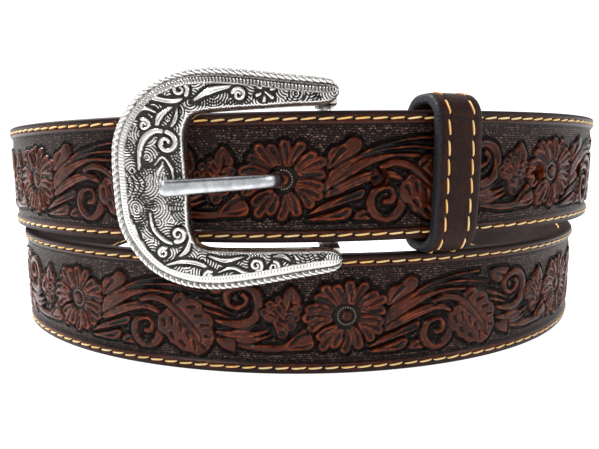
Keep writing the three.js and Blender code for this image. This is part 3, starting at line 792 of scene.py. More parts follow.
def piece(name, points, faces, material, nodes, values=None, normals=None):
    """A mesh object of the part, from points in row metres, that replaces CAD nodes."""
    mesh = bpy.data.meshes.new(name)
    mesh.from_pydata(np.asarray(points).tolist(), [], faces)
    mesh.polygons.foreach_set("use_smooth", np.ones(len(mesh.polygons), bool))
    for key, data in (values or {}).items():
        data = np.asarray(data, np.float32)
        vector = data.ndim == 2
        attribute = mesh.attributes.new(key, "FLOAT_VECTOR" if vector else "FLOAT", "POINT")
        attribute.data.foreach_set("vector" if vector else "value", data.ravel())
    mesh.materials.append(material)
    mesh.update()
    if normals is not None:
        mesh.normals_split_custom_set_from_vertices(np.asarray(normals).tolist())
    item = bpy.data.objects.new(name, mesh)
    bpy.context.scene.collection.objects.link(item)
    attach(item, "root")
    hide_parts(*nodes)
    return item


def grid_faces(rows, columns, closed_rows=False):
    """Quads of a grid of points whose columns close on themselves, as rows of four indices."""
    i, j = np.meshgrid(np.arange(rows if closed_rows else rows - 1), np.arange(columns), indexing="ij")
    i2, j2 = (i + 1) % rows, (j + 1) % columns
    quads = np.stack([i * columns + j, i2 * columns + j, i2 * columns + j2, i * columns + j2], axis=-1)
    return quads.reshape(-1, 4)


def grid_normals(points, closed_rows=False):
    """Unit normals of such a grid, from its own differences."""
    if closed_rows:
        along = np.roll(points, -1, axis=0) - np.roll(points, 1, axis=0)
    else:
        along = np.gradient(points, axis=0)
    normals = np.cross(along, np.roll(points, -1, axis=1) - np.roll(points, 1, axis=1))
    return normals / np.maximum(np.linalg.norm(normals, axis=-1, keepdims=True), 1e-12)


def end_caps(rows, columns, start=0):
    """The two faces that close a grid's ends."""
    last = start + (rows - 1) * columns
    return [list(range(start, start + columns)), list(range(last, last + columns))[::-1]]


def leather_values(place, raised, rub_and_glint):
    """Masks that are the same all over a small leather mesh."""
    flat = np.ones(len(place))
    return {"place": np.array(place), "raised": flat * raised, "matted": flat * 0, "edge": flat * 0,
            "lining": flat * 0, "rub_and_glint": flat * rub_and_glint}


# A strap's section goes up its outer face, over its upper edge, down its lining and round below.
# Each point is given by the signs of its corner's middle, its direction from there and its kind.
CORNER = np.radians(np.arange(22.5, 90, 22.5))
FACE, EDGE, LINING = 0, 1, 2


def strap_section(outer, inner):
    rows = [(1, 1, share, 0, FACE) for share in np.linspace(-1, 1, outer)]
    for angle in (*CORNER, math.pi / 2):
        rows.append((1, math.cos(angle), 1, math.sin(angle), EDGE))
    for angle in (math.pi / 2, *(math.pi / 2 + CORNER)):
        rows.append((-1, math.cos(angle), 1, math.sin(angle), EDGE))
    rows += [(-1, -1, share, 0, LINING) for share in inner]
    for angle in (*(math.pi + CORNER), 1.5 * math.pi):
        rows.append((-1, math.cos(angle), -1, math.sin(angle), EDGE))
    for angle in (1.5 * math.pi, *(1.5 * math.pi + CORNER)):
        rows.append((1, math.cos(angle), -1, math.sin(angle), EDGE))
    return np.array(rows, float).T


def section_masks(kind, rows):
    """Masks of the cut edge and the lining, the same at every station of a strap."""
    return {name: np.repeat((kind == number)[None].astype(float), rows, axis=0)
            for name, number in (("edge", EDGE), ("lining", LINING))}


# Lines pressed along the strap's face, as distances from its edge, and the pits under the stitches
BORDER_REACH = 0.32
CHANNEL_REACH = 0.45
RIM_INSET, RIM_REACH = 0.75, 0.2
BAND_MIDDLE, BAND_WAVE = 1.9, 1.5
PIT_LENGTH, PIT_WIDTH, PIT_DEPTH = 0.5, 0.42, 0.45
DEEPEST = -1.25


def strap_relief(arc, height, half, slope):
    """The outer face's relief and masks. Height is measured from the strap's lower edge."""
    x = (arc - FLOWER_ARC) / REPEAT * TILE
    y = height - FLOWER_V
    edge = (half - np.abs(height - WIDTH / 2)) / np.sqrt(1 + slope ** 2)
    field = smoothstep(BORDER + 0.05, BORDER + 0.4, edge)
    tooled = CANVAS.sample(CANVAS.height, x, y)
    motif = CANVAS.sample(CANVAS.motif, x, y)
    rim = bell(edge - RIM_INSET, RIM_REACH)
    band = 0.12 * (np.cos((edge - BAND_MIDDLE) / BAND_WAVE) - 1)
    relief = field * np.maximum(tooled, DEEPEST) + (1 - field) * band
    relief = relief - 0.5 * bell(edge - BORDER, BORDER_REACH)
    relief = relief - 0.16 * bell(edge - STITCH_INSET, CHANNEL_REACH) - 0.08 * rim
    gap = (np.mod(arc / STITCH_PITCH + 0.5, 1) - 0.5) * STITCH_PITCH
    pit = np.exp(-((gap / PIT_LENGTH) ** 4) - ((edge - STITCH_INSET) / PIT_WIDTH) ** 4)
    relief = relief - PIT_DEPTH * pit
    raised = smoothstep(-0.5, -0.16, relief)
    raised *= (1 - 0.8 * rim) * (0.66 + 0.34 * field)
    matted = field * (1 - motif) * smoothstep(-1.0, -0.8, relief)
    return relief, raised, matted


def sweep(path, arcs, thick, width, section):
    """A strap along a path: its stations' directions, and each point's place in its section."""
    corner_side, corner_out, share, corner_up, kind = section
    middle, out, up = path.at(arcs)
    radius = np.minimum(EDGE_ROUND, np.minimum(thick, width) * 0.42)[:, None]
    across = corner_side * (thick[:, None] / 2 - radius) + radius * corner_out
    height = share * (width[:, None] / 2 - radius) + radius * corner_up
    half, slope, arc = (np.repeat(values[:, None], len(kind), axis=1)
                        for values in (width / 2, np.gradient(width / 2, arcs), arcs))
    return middle, out, up, across, height, half, slope, arc


def swept(middle, out, up, across, height):
    return middle[:, None] + out[:, None] * across[..., None] + up[:, None] * height[..., None]


TIP_START = STRAP_END - TIP_LENGTH


def strap_width(arcs):
    share = np.clip((arcs - TIP_START) / TIP_LENGTH, 0, 1)
    return WIDTH * np.where(share > 0, np.sqrt(np.maximum(1.02 - share ** 2, 0)), 1)


HOLE_HEIGHT = 15.6
HOLES = [UPPER_FRONT + FIRST_HOLE_ARC + k * HOLE_PITCH for k in range(HOLE_COUNT)]
# The used hole's tunnel leans: it opens in the lining further right than in the outer face
USED_HOLE = UPPER_FRONT - 6.5
USED_HOLE_BACK = UPPER_FRONT - 3.9
USED_HOLE_RADIUS = 2.1
HOLE_RINGS = 6


def opening(number):
    """A hole's radius, and its arc on the outer face and on the lining."""
    if number == 0:
        return USED_HOLE_RADIUS, USED_HOLE, USED_HOLE_BACK
    return HOLE_RADIUS, HOLES[number], HOLES[number]


def open_holes(arc, height, kind):
    """Draws the grid's points beside each hole onto its rim."""
    inside_hole, rim_hole = np.zeros(arc.shape, bool), np.zeros(arc.shape, bool)
    shift, near = np.zeros(arc.shape), np.full(arc.shape, 9.0)
    for number in range(HOLE_COUNT):
        radius, front, back = opening(number)
        for at, columns in ((front, kind == FACE), (back, kind == LINING)):
            du, dv = arc - at, height + WIDTH / 2 - HOLE_HEIGHT
            away = np.where(columns[None, :], np.hypot(du, dv), 99.0)
            inside = away < radius
            beside = np.zeros_like(inside)
            for di in (-1, 0, 1):
                for dj in (-1, 0, 1):
                    beside |= np.roll(np.roll(inside, di, axis=0), dj, axis=1)
            beside &= ~inside
            scale = np.where(beside, radius / np.maximum(away, 0.01), 1.0)
            shift += np.where(beside, du * (scale - 1), 0)
            height = np.where(beside, HOLE_HEIGHT - WIDTH / 2 + dv * scale, height)
            inside_hole |= inside
            rim_hole |= beside
            near = np.minimum(near, np.where(inside, 0, np.maximum(away - radius, 0)))
    return height, shift, near, inside_hole, inside_hole | rim_hole


def strap_piece(name, low_turn, high_turn, spacing, outer, inner, holes=False, tip=False):
    """A length of the tooled strap."""
    low, high = arc_at(low_turn), arc_at(high_turn)
    arcs = np.linspace(low, high, int(round((high - low) / spacing)) + 1)
    section = strap_section(outer, inner)
    kind = section[4]
    middle, out, up, across, height, half, slope, arc = sweep(
        STRAP, arcs, np.full(len(arcs), THICK), strap_width(arcs), section)
    quads = grid_faces(*arc.shape)
    shift, near = np.zeros(arc.shape), np.full(arc.shape, 9.0)
    if holes:
        height, shift, near, gone, open_point = open_holes(arc, height, kind)
        quads = quads[~(open_point.ravel()[quads].all(axis=1) & gone.ravel()[quads].any(axis=1))]
    relief, raised, matted = strap_relief(arc + shift, height + WIDTH / 2, half, slope)
    face = kind[None, :] == FACE
    relief = np.where(face, relief, 0) - 0.3 * bell(near, 0.3)
    fade = np.clip((half - np.abs(height)) / EDGE_ROUND, 0, 1)
    relief = relief * np.where(face, fade, 1)
    across = across + np.where(kind[None, :] == LINING, -relief, relief)
    points = swept(middle, out, up, across, height) + np.cross(up, out)[:, None] * shift[..., None]
    values = {
        "raised": np.where(face, raised, 0) * (1 - 0.7 * bell(near, 0.25)),
        "matted": np.where(face, matted, 0),
        **section_masks(kind, len(arcs)),
    }
    values["rub_and_glint"] = values["raised"] * rub_mask(relief)
    flat = {key: data.reshape(-1) for key, data in values.items()}
    flat["place"] = np.stack([arc, height, across], axis=-1).reshape(-1, 3)
    faces = quads.tolist() + (end_caps(*arc.shape)[1:] if tip else [])
    piece(name, to_row(points).reshape(-1, 3), faces, LEATHER, ["strap"],
          flat, grid_normals(points).reshape(-1, 3))


def rub_mask(relief):
    """Where the relief's own rims stand up and get rubbed pale."""
    bend = np.zeros_like(relief)
    bend[:, 1:-1] = relief[:, 1:-1] - 0.5 * (relief[:, :-2] + relief[:, 2:])
    bend[1:-1] += relief[1:-1] - 0.5 * (relief[:-2] + relief[2:])
    return smoothstep(0.03, 0.16, bend)


PLAIN_LINING = np.linspace(1, -1, 8)
HOLED_LINING = np.concatenate([np.linspace(1, 0.22, 8), np.linspace(0.2, -0.2, 20),
                               np.linspace(-0.22, -1, 8)])

# Lengths of the strap: first and last turn, spacing along it, points across the face, lining
strap_piece("strap_inner_turn", 8, 234, 1.4, 44, PLAIN_LINING)
strap_piece("strap_crossing", 234, 292, 0.5, 90, PLAIN_LINING)
strap_piece("strap_lower_front", 292, 438, 0.36, 94, PLAIN_LINING)
strap_piece("strap_back", 438, 655, 0.8, 84, PLAIN_LINING)
strap_piece("strap_upper_left", 655, 706, 0.36, 94, PLAIN_LINING)
strap_piece("strap_upper_front", 706, 778, 0.3, 100, HOLED_LINING, holes=True)
strap_piece("strap_tail", 778, TIP_TURN, 0.36, 100, HOLED_LINING, holes=True, tip=True)


# The hole walls: a tube from each opening in the outer face to the one in the lining


def make_hole_walls():
    points, faces, place = [], [], []
    turn = np.radians(np.arange(0, 360, 10))
    for number in range(HOLE_COUNT):
        radius, front_arc, back_arc = opening(number)
        (front, back), (out, back_out), (up, _) = STRAP.at(np.array([front_arc, back_arc]))
        front = front + out * (THICK / 2 - 0.25)
        back = back - back_out * (THICK / 2 - 0.2)
        ring = np.cos(turn)[:, None] * np.cross(up, out) + np.sin(turn)[:, None] * up
        faces.extend((grid_faces(HOLE_RINGS, len(turn)) + len(points)).tolist())
        for share in np.linspace(0, 1, HOLE_RINGS):
            middle = front * (1 - share) + back * share + up * (HOLE_HEIGHT - WIDTH / 2)
            rough = 0.04 * np.sin(5 * turn + 9 * share + number)[:, None]
            points.extend(middle + ring * (radius + 0.05 + rough))
            flat = np.ones(len(turn))
            place.extend(np.column_stack([turn * HOLE_RADIUS, flat * share * THICK, flat * 9 * number]))
    piece("hole_walls", to_row(points), faces, LEATHER, ["strap"],
          leather_values(place, 1, 1))


make_hole_walls()


# Buckle end: the strap thins, folds round the bar and lies against itself as a flap


# The flap's and the fold's tapers: turn, inset from the oval, thickness
FLAP_TAPER = np.array([(3.3, 12.4, 2.2), (6.5, 11.7, 2.4), (10, 10.2, 2.4), (15, 10.2, 2.4)]).T
END_TAPER = np.array([(3.3, 5.6, 2.2), (8, 6.6, 4.0), (20, 6.6, 4.0)]).T
END_TURNS = np.array([4.3, 4.9, 5.5, 6.1, 6.8, 7.4, 8.0, 8.3])


def tapered(turns, table):
    return [np.interp(turns, table[0], column) for column in table[1:]]


def make_fold():
    turns = np.arange(15, BAR_TURN, -0.4)
    inset, thick = tapered(turns, FLAP_TAPER)
    fold = circle(math.pi / 2 + np.pi * np.linspace(0, 1, 19), FOLD_RADIUS, BAR)
    end_inset, end_thick = tapered(END_TURNS, END_TAPER)
    xy = np.vstack([plan(turns, inset, 1.0), fold, plan(END_TURNS, end_inset, 1.0)])
    lift_turns = np.concatenate([turns, np.full(len(fold), BAR_TURN), END_TURNS])
    thicks = np.concatenate([thick, np.full(len(fold), FOLD_THICK), end_thick])
    path = Path(xy, route(lift_turns, ROUTE_LIFT), up=(-math.sin(TILT), 0, math.cos(TILT)))
    section = strap_section(34, np.linspace(1, -1, 24))
    kind = section[4]
    middle, out, up, across, height, half, _, arc = sweep(
        path, path.arc, thicks, np.full(len(path.arc), WIDTH), section)
    edge = half - np.abs(height)
    channel = bell(edge - STITCH_INSET, CHANNEL_REACH) + bell(edge - BORDER, BORDER_REACH)
    face = kind[None, :] == FACE
    across = across - np.where(face, 0.16 * channel, 0)
    points = swept(middle, out, up, across, height)
    values = {
        "raised": np.where(face, 0.85 - 0.6 * channel, 0),
        "matted": np.zeros(arc.shape),
        **section_masks(kind, len(path.arc)),
        "rub_and_glint": np.zeros(arc.shape),
    }
    flat = {key: data.ravel() for key, data in values.items()}
    flat["place"] = np.stack([arc, height, across], axis=-1).reshape(-1, 3)
    faces = grid_faces(*arc.shape).tolist() + end_caps(*arc.shape)
    item = piece("strap_fold", to_row(points).reshape(-1, 3), faces, LEATHER,
                 ["strap"], flat)
    cut_slot(item)


def cut_slot(item):
    """Cuts the slot that the prong's ring turns in."""
    low = BAR + np.array([-5.0, -4.5, -2.7])
    high = BAR + np.array([4.6, 5.0, 2.7])
    corners = [[(low, high)[a][0], (low, high)[b][1], (low, high)[c][2]]
               for a in (0, 1) for b in (0, 1) for c in (0, 1)]
    sides = [(0, 1, 3, 2), (4, 6, 7, 5), (0, 4, 5, 1), (2, 3, 7, 6), (0, 2, 6, 4), (1, 5, 7, 3)]
    mesh = bpy.data.meshes.new("slot")
    mesh.from_pydata(to_row(corners).tolist(), [], sides)
    mesh.materials.append(LEATHER)
    cutter = bpy.data.objects.new("slot", mesh)
    bpy.context.scene.collection.objects.link(cutter)
    cut = item.modifiers.new("slot", "BOOLEAN")
    cut.operation = "DIFFERENCE"
    cut.object = cutter
    bpy.context.view_layer.update()
    graph = bpy.context.evaluated_depsgraph_get()
    shaped = bpy.data.meshes.new_from_object(item.evaluated_get(graph))
    item.modifiers.clear()
    item.data = shaped
    shaped.set_sharp_from_angle(angle=math.radians(40))
    bpy.data.objects.remove(cutter)


make_fold()


# Stitches: short pieces of thread that dive into their holes


THREAD_WIDTH = 0.6
THREAD_HALF_HEIGHT = 0.3
STITCH_DIVE = 0.42


def stitch_rows(frames, length, rise, seed_start):
    """Points, faces and values of one stitch at each frame (middle, along, sideways, outward)."""
    steps = np.array([-0.5, -0.46, -0.34, -0.12, 0.12, 0.34, 0.46, 0.5])
    girth = np.array([0.25, 0.68, 0.94, 1, 1, 0.94, 0.68, 0.25])
    sink = rise - STITCH_DIVE * np.abs(2 * steps) ** 5
    turn = np.radians(np.arange(0, 360, 45) + 22.5)
    rng = np.random.default_rng(seed_start)
    points, faces, place, across, seed = [], [], [], [], []
    base = grid_faces(len(steps), len(turn)).tolist() + end_caps(len(steps), len(turn))
    side, above = np.cos(turn) * THREAD_WIDTH / 2, np.sin(turn) * THREAD_HALF_HEIGHT
    for number, (middle, along, sideways, outward) in enumerate(frames):
        size = 1 + rng.uniform(-0.05, 0.05)
        lean = math.radians(rng.uniform(3.5, 7.5))
        tilt = rng.uniform(-0.06, 0.06)
        run = along * math.cos(lean) + sideways * math.sin(lean)
        over = sideways * math.cos(lean) - along * math.sin(lean)
        start = len(points)
        shade = rng.uniform()
        for step, fat, deep in zip(steps, girth, sink):
            centre = middle + run * step * length * size + outward * (deep + tilt * step)
            points.extend(centre + (side[:, None] * over + above[:, None] * outward) * fat)
            across.extend(np.cos(turn) * 0.5 + np.sign(np.cos(turn)) * 0.5 * (np.sin(turn) < 0.5))
            seed.extend([shade] * len(turn))
            place.extend([(number * 7.3 + step * length, a, b) for a, b in zip(side, above)])
        faces.extend([[start + index for index in face] for face in base])
    return points, faces, {"place": np.array(place), "across": np.array(across), "seed": np.array(seed)}


def rail(side, start, end):
    """A stitch row's line on the strap: arc and height pairs, the lower side -1 or upper 1."""
    arcs = np.concatenate([np.arange(start, TIP_START, 2.0), np.arange(TIP_START, STRAP_END, 0.25)])
    arcs = arcs[arcs <= end]
    half = strap_width(arcs) / 2
    slope = np.gradient(half, arcs)
    inward = unit(np.column_stack([slope, -np.ones_like(slope)]))
    line = np.column_stack([arcs, half]) + inward * STITCH_INSET
    line = line[line[:, 1] > 0.2]
    line[:, 1] *= side
    return line


def face_frames(line, pitch, face):
    """Frames at even steps along a line on the outer face, 1, or on the lining, -1."""
    run = run_along(line)
    at = np.arange(pitch / 2, run[-1], pitch)
    arc, height = (np.interp(at, run, line[:, k]) for k in (0, 1))
    ahead_arc, ahead_height = (np.interp(at + 0.5, run, line[:, k]) for k in (0, 1))
    middle, out, up = STRAP.at(arc)
    along_side = np.cross(up, out)
    du, dv = ahead_arc - arc, ahead_height - height
    size = np.hypot(du, dv)
    size[size == 0] = 1
    frames = []
    for k in range(len(at)):
        along = (along_side[k] * du[k] + up[k] * dv[k]) / size[k]
        outward = out[k] * face
        place = middle[k] + up[k] * height[k] + outward * (THICK / 2 - 0.2)
        frames.append((place, along, np.cross(outward, along), outward))
    return frames


# A bead's rings, each with its radius and rise, and the rise of its top
BEAD_LEVELS = ((0.24, 0.1), (0.22, 0.24), (0.13, 0.35))
BEAD_TOP = 0.39
# Flowers with beads, counted in repeats from the one on the lower front
BEADED_FLOWERS = range(-4, 9)


def make_beads():
    """Rings of small beads round the flowers' buttons. The strap's first two and the tip's have none."""
    turn = np.radians(np.arange(0, 360, 60))
    around = np.arange(BEAD_COUNT) * 2 * math.pi / BEAD_COUNT
    points, faces, place = [], [], []
    for number in BEADED_FLOWERS:
        flower = FLOWER_ARC + number * REPEAT
        arcs = flower + BEAD_RING * np.cos(around)
        heights = FLOWER_V - WIDTH / 2 + BEAD_RING * np.sin(around)
        middle, out, up = STRAP.at(arcs)
        side = np.cross(up, out)
        if abs(flower - USED_HOLE) < 6:
            clear = np.hypot(arcs - USED_HOLE, heights + WIDTH / 2 - HOLE_HEIGHT) > USED_HOLE_RADIUS + 0.3
        else:
            clear = np.ones(BEAD_COUNT, bool)
        for k in np.flatnonzero(clear):
            foot = middle[k] + up[k] * heights[k] + out[k] * (THICK / 2 - 0.82)
            start = len(points)
            ring = np.cos(turn)[:, None] * side[k] + np.sin(turn)[:, None] * up[k]
            for radius, rise in BEAD_LEVELS:
                points.extend(foot + ring * radius + out[k] * rise)
            points.append(foot + out[k] * BEAD_TOP)
            faces.extend((grid_faces(3, len(turn)) + start).tolist())
            top = start + 2 * len(turn)
            tip = start + 3 * len(turn)
            faces.extend([[top + j, top + (j + 1) % len(turn), tip] for j in range(len(turn))])
            place.extend([(arcs[k], heights[k], j) for j in range(3 * len(turn) + 1)])
    # The rub value of 3 paints the beads pale: a painted glint on each bead
    piece("flower_beads", to_row(points), faces, LEATHER, ["strap"],
          leather_values(place, 0.6, 3))


def make_stitches():
    for name, face, rise, seed in (("stitches_outer", 1, 0.14, 1), ("stitches_inner", -1, 0.2, 5)):
        frames = []
        for side in (-1, 1):
            frames += face_frames(rail(side, 0.0, STRAP_END), STITCH_PITCH, face)
        points, faces, values = stitch_rows(frames, STITCH_LENGTH, rise, seed)
        piece(name, to_row(points), faces, THREAD, ["strap"], values)


make_beads()
make_stitches()


# Keeper

KEEPER_ARC = 38.3
KEEPER_DEPTH = 10.8
KEEPER_HEIGHT = 34.9
KEEPER_CORNER = 3.8
KEEPER_WIDTH = 12.4
KEEPER_THICK = 2.8
KEEPER_INSET = 4.9
KEEPER_BULGE = 1.1
KEEPER_ROW = 3.32
KEEPER_ROUND = 0.95
KEEPER_SPACING = 0.45
KEEPER_STITCH_PITCH = 4.7
KEEPER_STITCH_LENGTH = 4.1


def turn_at_front(arc):
    """The oval's turn where its edge has run a length from the middle of the front."""
    turns = np.radians(np.arange(0, 90, 0.02))
    steps = np.hypot(OVAL_X * np.cos(turns), OVAL_FRONT * np.sin(turns)) * np.radians(0.02)
    return math.copysign(float(np.degrees(np.interp(abs(arc), np.cumsum(steps), turns))), arc)


def rounded_loop(depth, height, corner, spacing):
    """Points and outward normals of a rounded rectangle, at even steps."""
    w, h = depth / 2 - corner, height / 2 - corner
    points = []
    for cx, cy, start in ((w, h, 0), (-w, h, 90), (-w, -h, 180), (w, -h, 270)):
        points.extend(circle(np.radians(np.linspace(start, start + 90, 16)), corner, (cx, cy)))
    points = np.array([*points, points[0]])
    run = run_along(points)
    count = int(round(run[-1] / spacing))
    at = np.linspace(0, run[-1], count, endpoint=False)
    even = np.column_stack([np.interp(at, run, points[:, k]) for k in (0, 1)])
    even[:, 0] += KEEPER_BULGE * smoothstep(0, w, even[:, 0]) * (1 - (2 * even[:, 1] / height) ** 2)
    along = unit(np.roll(even, -1, axis=0) - np.roll(even, 1, axis=0))
    return even, np.column_stack([along[:, 1], -along[:, 0]]), at


def keeper_frame():
    turn = turn_at_front(KEEPER_ARC)
    place = plan(turn, KEEPER_INSET, 1)
    ahead = plan(turn + 0.5, KEEPER_INSET, 1) - plan(turn - 0.5, KEEPER_INSET, 1)
    along = np.append(unit(ahead), 0)
    lift = UPPER_LIFT + UPPER_RISE * math.sin(math.radians(turn))
    middle = np.append(place, lift + WIDTH / 2)
    return middle, np.array([along[1], -along[0], 0]), along


def make_keeper():
    middle, out, along = keeper_frame()
    up = np.array([0, 0, 1.0])
    loop, normal, at = rounded_loop(KEEPER_DEPTH + KEEPER_THICK, KEEPER_HEIGHT + KEEPER_THICK,
                                    KEEPER_CORNER + KEEPER_THICK / 2, KEEPER_SPACING)
    side, cos, share, sin, kind = strap_section(54, np.linspace(1, -1, 12))
    thick = side * (KEEPER_THICK / 2 - KEEPER_ROUND) + KEEPER_ROUND * cos
    width = share * (KEEPER_WIDTH / 2 - KEEPER_ROUND) + KEEPER_ROUND * sin
    inset = KEEPER_WIDTH / 2 - np.abs(width)
    face = kind == FACE
    pressed = 0.16 * bell(np.abs(width) - KEEPER_ROW, 0.42) + 0.06 * bell(inset - 0.95, 0.18)
    thick = thick + np.where(face, 0.12 * np.cos(width / 5.5 * 1.4) - pressed, 0)
    spread = loop[:, None] + normal[:, None] * thick[None, :, None]
    points = middle + out * spread[..., :1] + up * spread[..., 1:2] + along * width[None, :, None]
    shape = points.shape[:2]
    masks = section_masks(kind, shape[0])
    values = {
        "place": np.stack(np.broadcast_arrays(at[:, None], width, thick), axis=-1).reshape(-1, 3),
        "edge": np.maximum(masks["edge"], (inset < KEEPER_ROUND) & face).ravel(),
        "lining": masks["lining"].ravel(),
    }
    faces = grid_faces(*shape, closed_rows=True)[:, ::-1]
    normals = -grid_normals(points, closed_rows=True)
    piece("keeper_loop", to_row(points).reshape(-1, 3), faces.tolist(), KEEPER_LEATHER,
          ["keeper"], values, normals.reshape(-1, 3))
    frames = []
    count = int(round(at[-1] / KEEPER_STITCH_PITCH))
    for row in (-1, 1):
        for k in range(count):
            index = int(round((k + 0.5) / count * len(at))) % len(at)
            outward = out * normal[index, 0] + up * normal[index, 1]
            ahead = np.cross(along, outward)
            place = (middle + out * loop[index, 0] + up * loop[index, 1]
                     + outward * (KEEPER_THICK / 2 - 0.1) + along * row * KEEPER_ROW)
            frames.append((place, ahead, np.cross(outward, ahead), outward))
    points, faces, values = stitch_rows(frames, KEEPER_STITCH_LENGTH, 0.14, 11)
    piece("stitches_keeper", to_row(points), faces, THREAD, ["keeper"], values)


make_keeper()


# Buckle, in its own frame: x from the bar, y as in the belt, z from the buckle's middle.
# The outline's rows are outer x, outer z, inner x and inner z.

FRAME_OUTLINE = [
    (-51.7, 0.0, -33.2, 0.0), (-51.1, 9.6, -33.4, 6.0), (-48.1, 16.1, -33.3, 11.0),
    (-43.0, 21.6, -32.2, 14.2), (-35.9, 24.9, -30.0, 15.7), (-28.0, 26.0, -26.0, 16.2),
    (-18.6, 25.3, -18.0, 16.5), (-9.0, 24.1, -9.0, 16.8), (-1.0, 23.2, -1.0, 17.1),
    (1.6, 22.5, 1.6, 17.8), (2.9, 21.0, 2.9, 19.2),
]
FULL_WIDTH = 6.4
ROPE_PITCH = 1.6


def from_buckle(points):
    points = np.asarray(points, float)
    x, y, z = np.moveaxis(points, -1, 0)
    cos, sin = math.cos(TILT), math.sin(TILT)
    return to_row(np.stack([BAR[0] + x * cos - z * sin, y, BAR[2] + x * sin + z * cos], axis=-1))


def frame_back(x):
    return -88.7 + (x + 22) ** 2 / 320


def spline_at(points, t):
    """A point on the smooth curve through the points, for t from 0 to 1."""
    place = t * (len(points) - 1)
    k = np.minimum(place.astype(int), len(points) - 2)
    s = (place - k)[:, None]
    a, b = points[np.maximum(k - 1, 0)], points[k]
    c, d = points[k + 1], points[np.minimum(k + 2, len(points) - 1)]
    bend = (2 * a - 5 * b + 4 * c - d) * s ** 2 + (3 * b - a - 3 * c + d) * s ** 3
    return 0.5 * (2 * b + (c - a) * s + bend)


# Middles of the fans of fine arcs that fill the ground between the scrolls, on the upper half
FANS = [
    (-49.5, 2.0), (-46.0, 8.0), (-49.0, 12.0), (-44.5, 17.5), (-41.0, 6.5), (-39.8, 13.2), (-39.5, 20.5),
    (-36.0, 2.5), (-35.0, 6.5), (-34.6, 12.0), (-35.4, 17.6), (-30.5, 23.2), (-30.0, 19.0), (-25.0, 22.6),
    (-25.0, 19.0), (-20.0, 17.2), (-17.0, 22.6), (-14.0, 18.0), (-10.0, 21.6), (-7.0, 18.2), (-3.0, 21.0),
    (0.5, 19.5), (-43.5, 1.5), (-46.4, 4.6), (-42.6, 10.4), (-38.6, 17.2),
]
FAN_PITCH = 0.66


def fill_with_arcs(canvas):
    """Fans of fine arcs, each round its own middle, like scales that overlap."""
    x, z = np.meshgrid(canvas.x, canvas.y)
    fans = np.array(FANS + [(ax + 0.7, -az + 0.6) for ax, az in FANS])
    best = np.full(x.shape, 1e9)
    wave = np.zeros(x.shape)
    for number, (ax, az) in enumerate(fans):
        shift = np.array([math.cos(2.4 * number), math.sin(2.4 * number)]) * 1.3
        away = np.hypot(x - ax, z - az)
        arcs = np.hypot(x - ax - shift[0], z - az - shift[1])
        nearer = away < best
        best = np.where(nearer, away, best)
        wave = np.where(nearer, np.cos(2 * np.pi * arcs / FAN_PITCH), wave)
    canvas.height[:] = -0.15 + 0.16 * wave


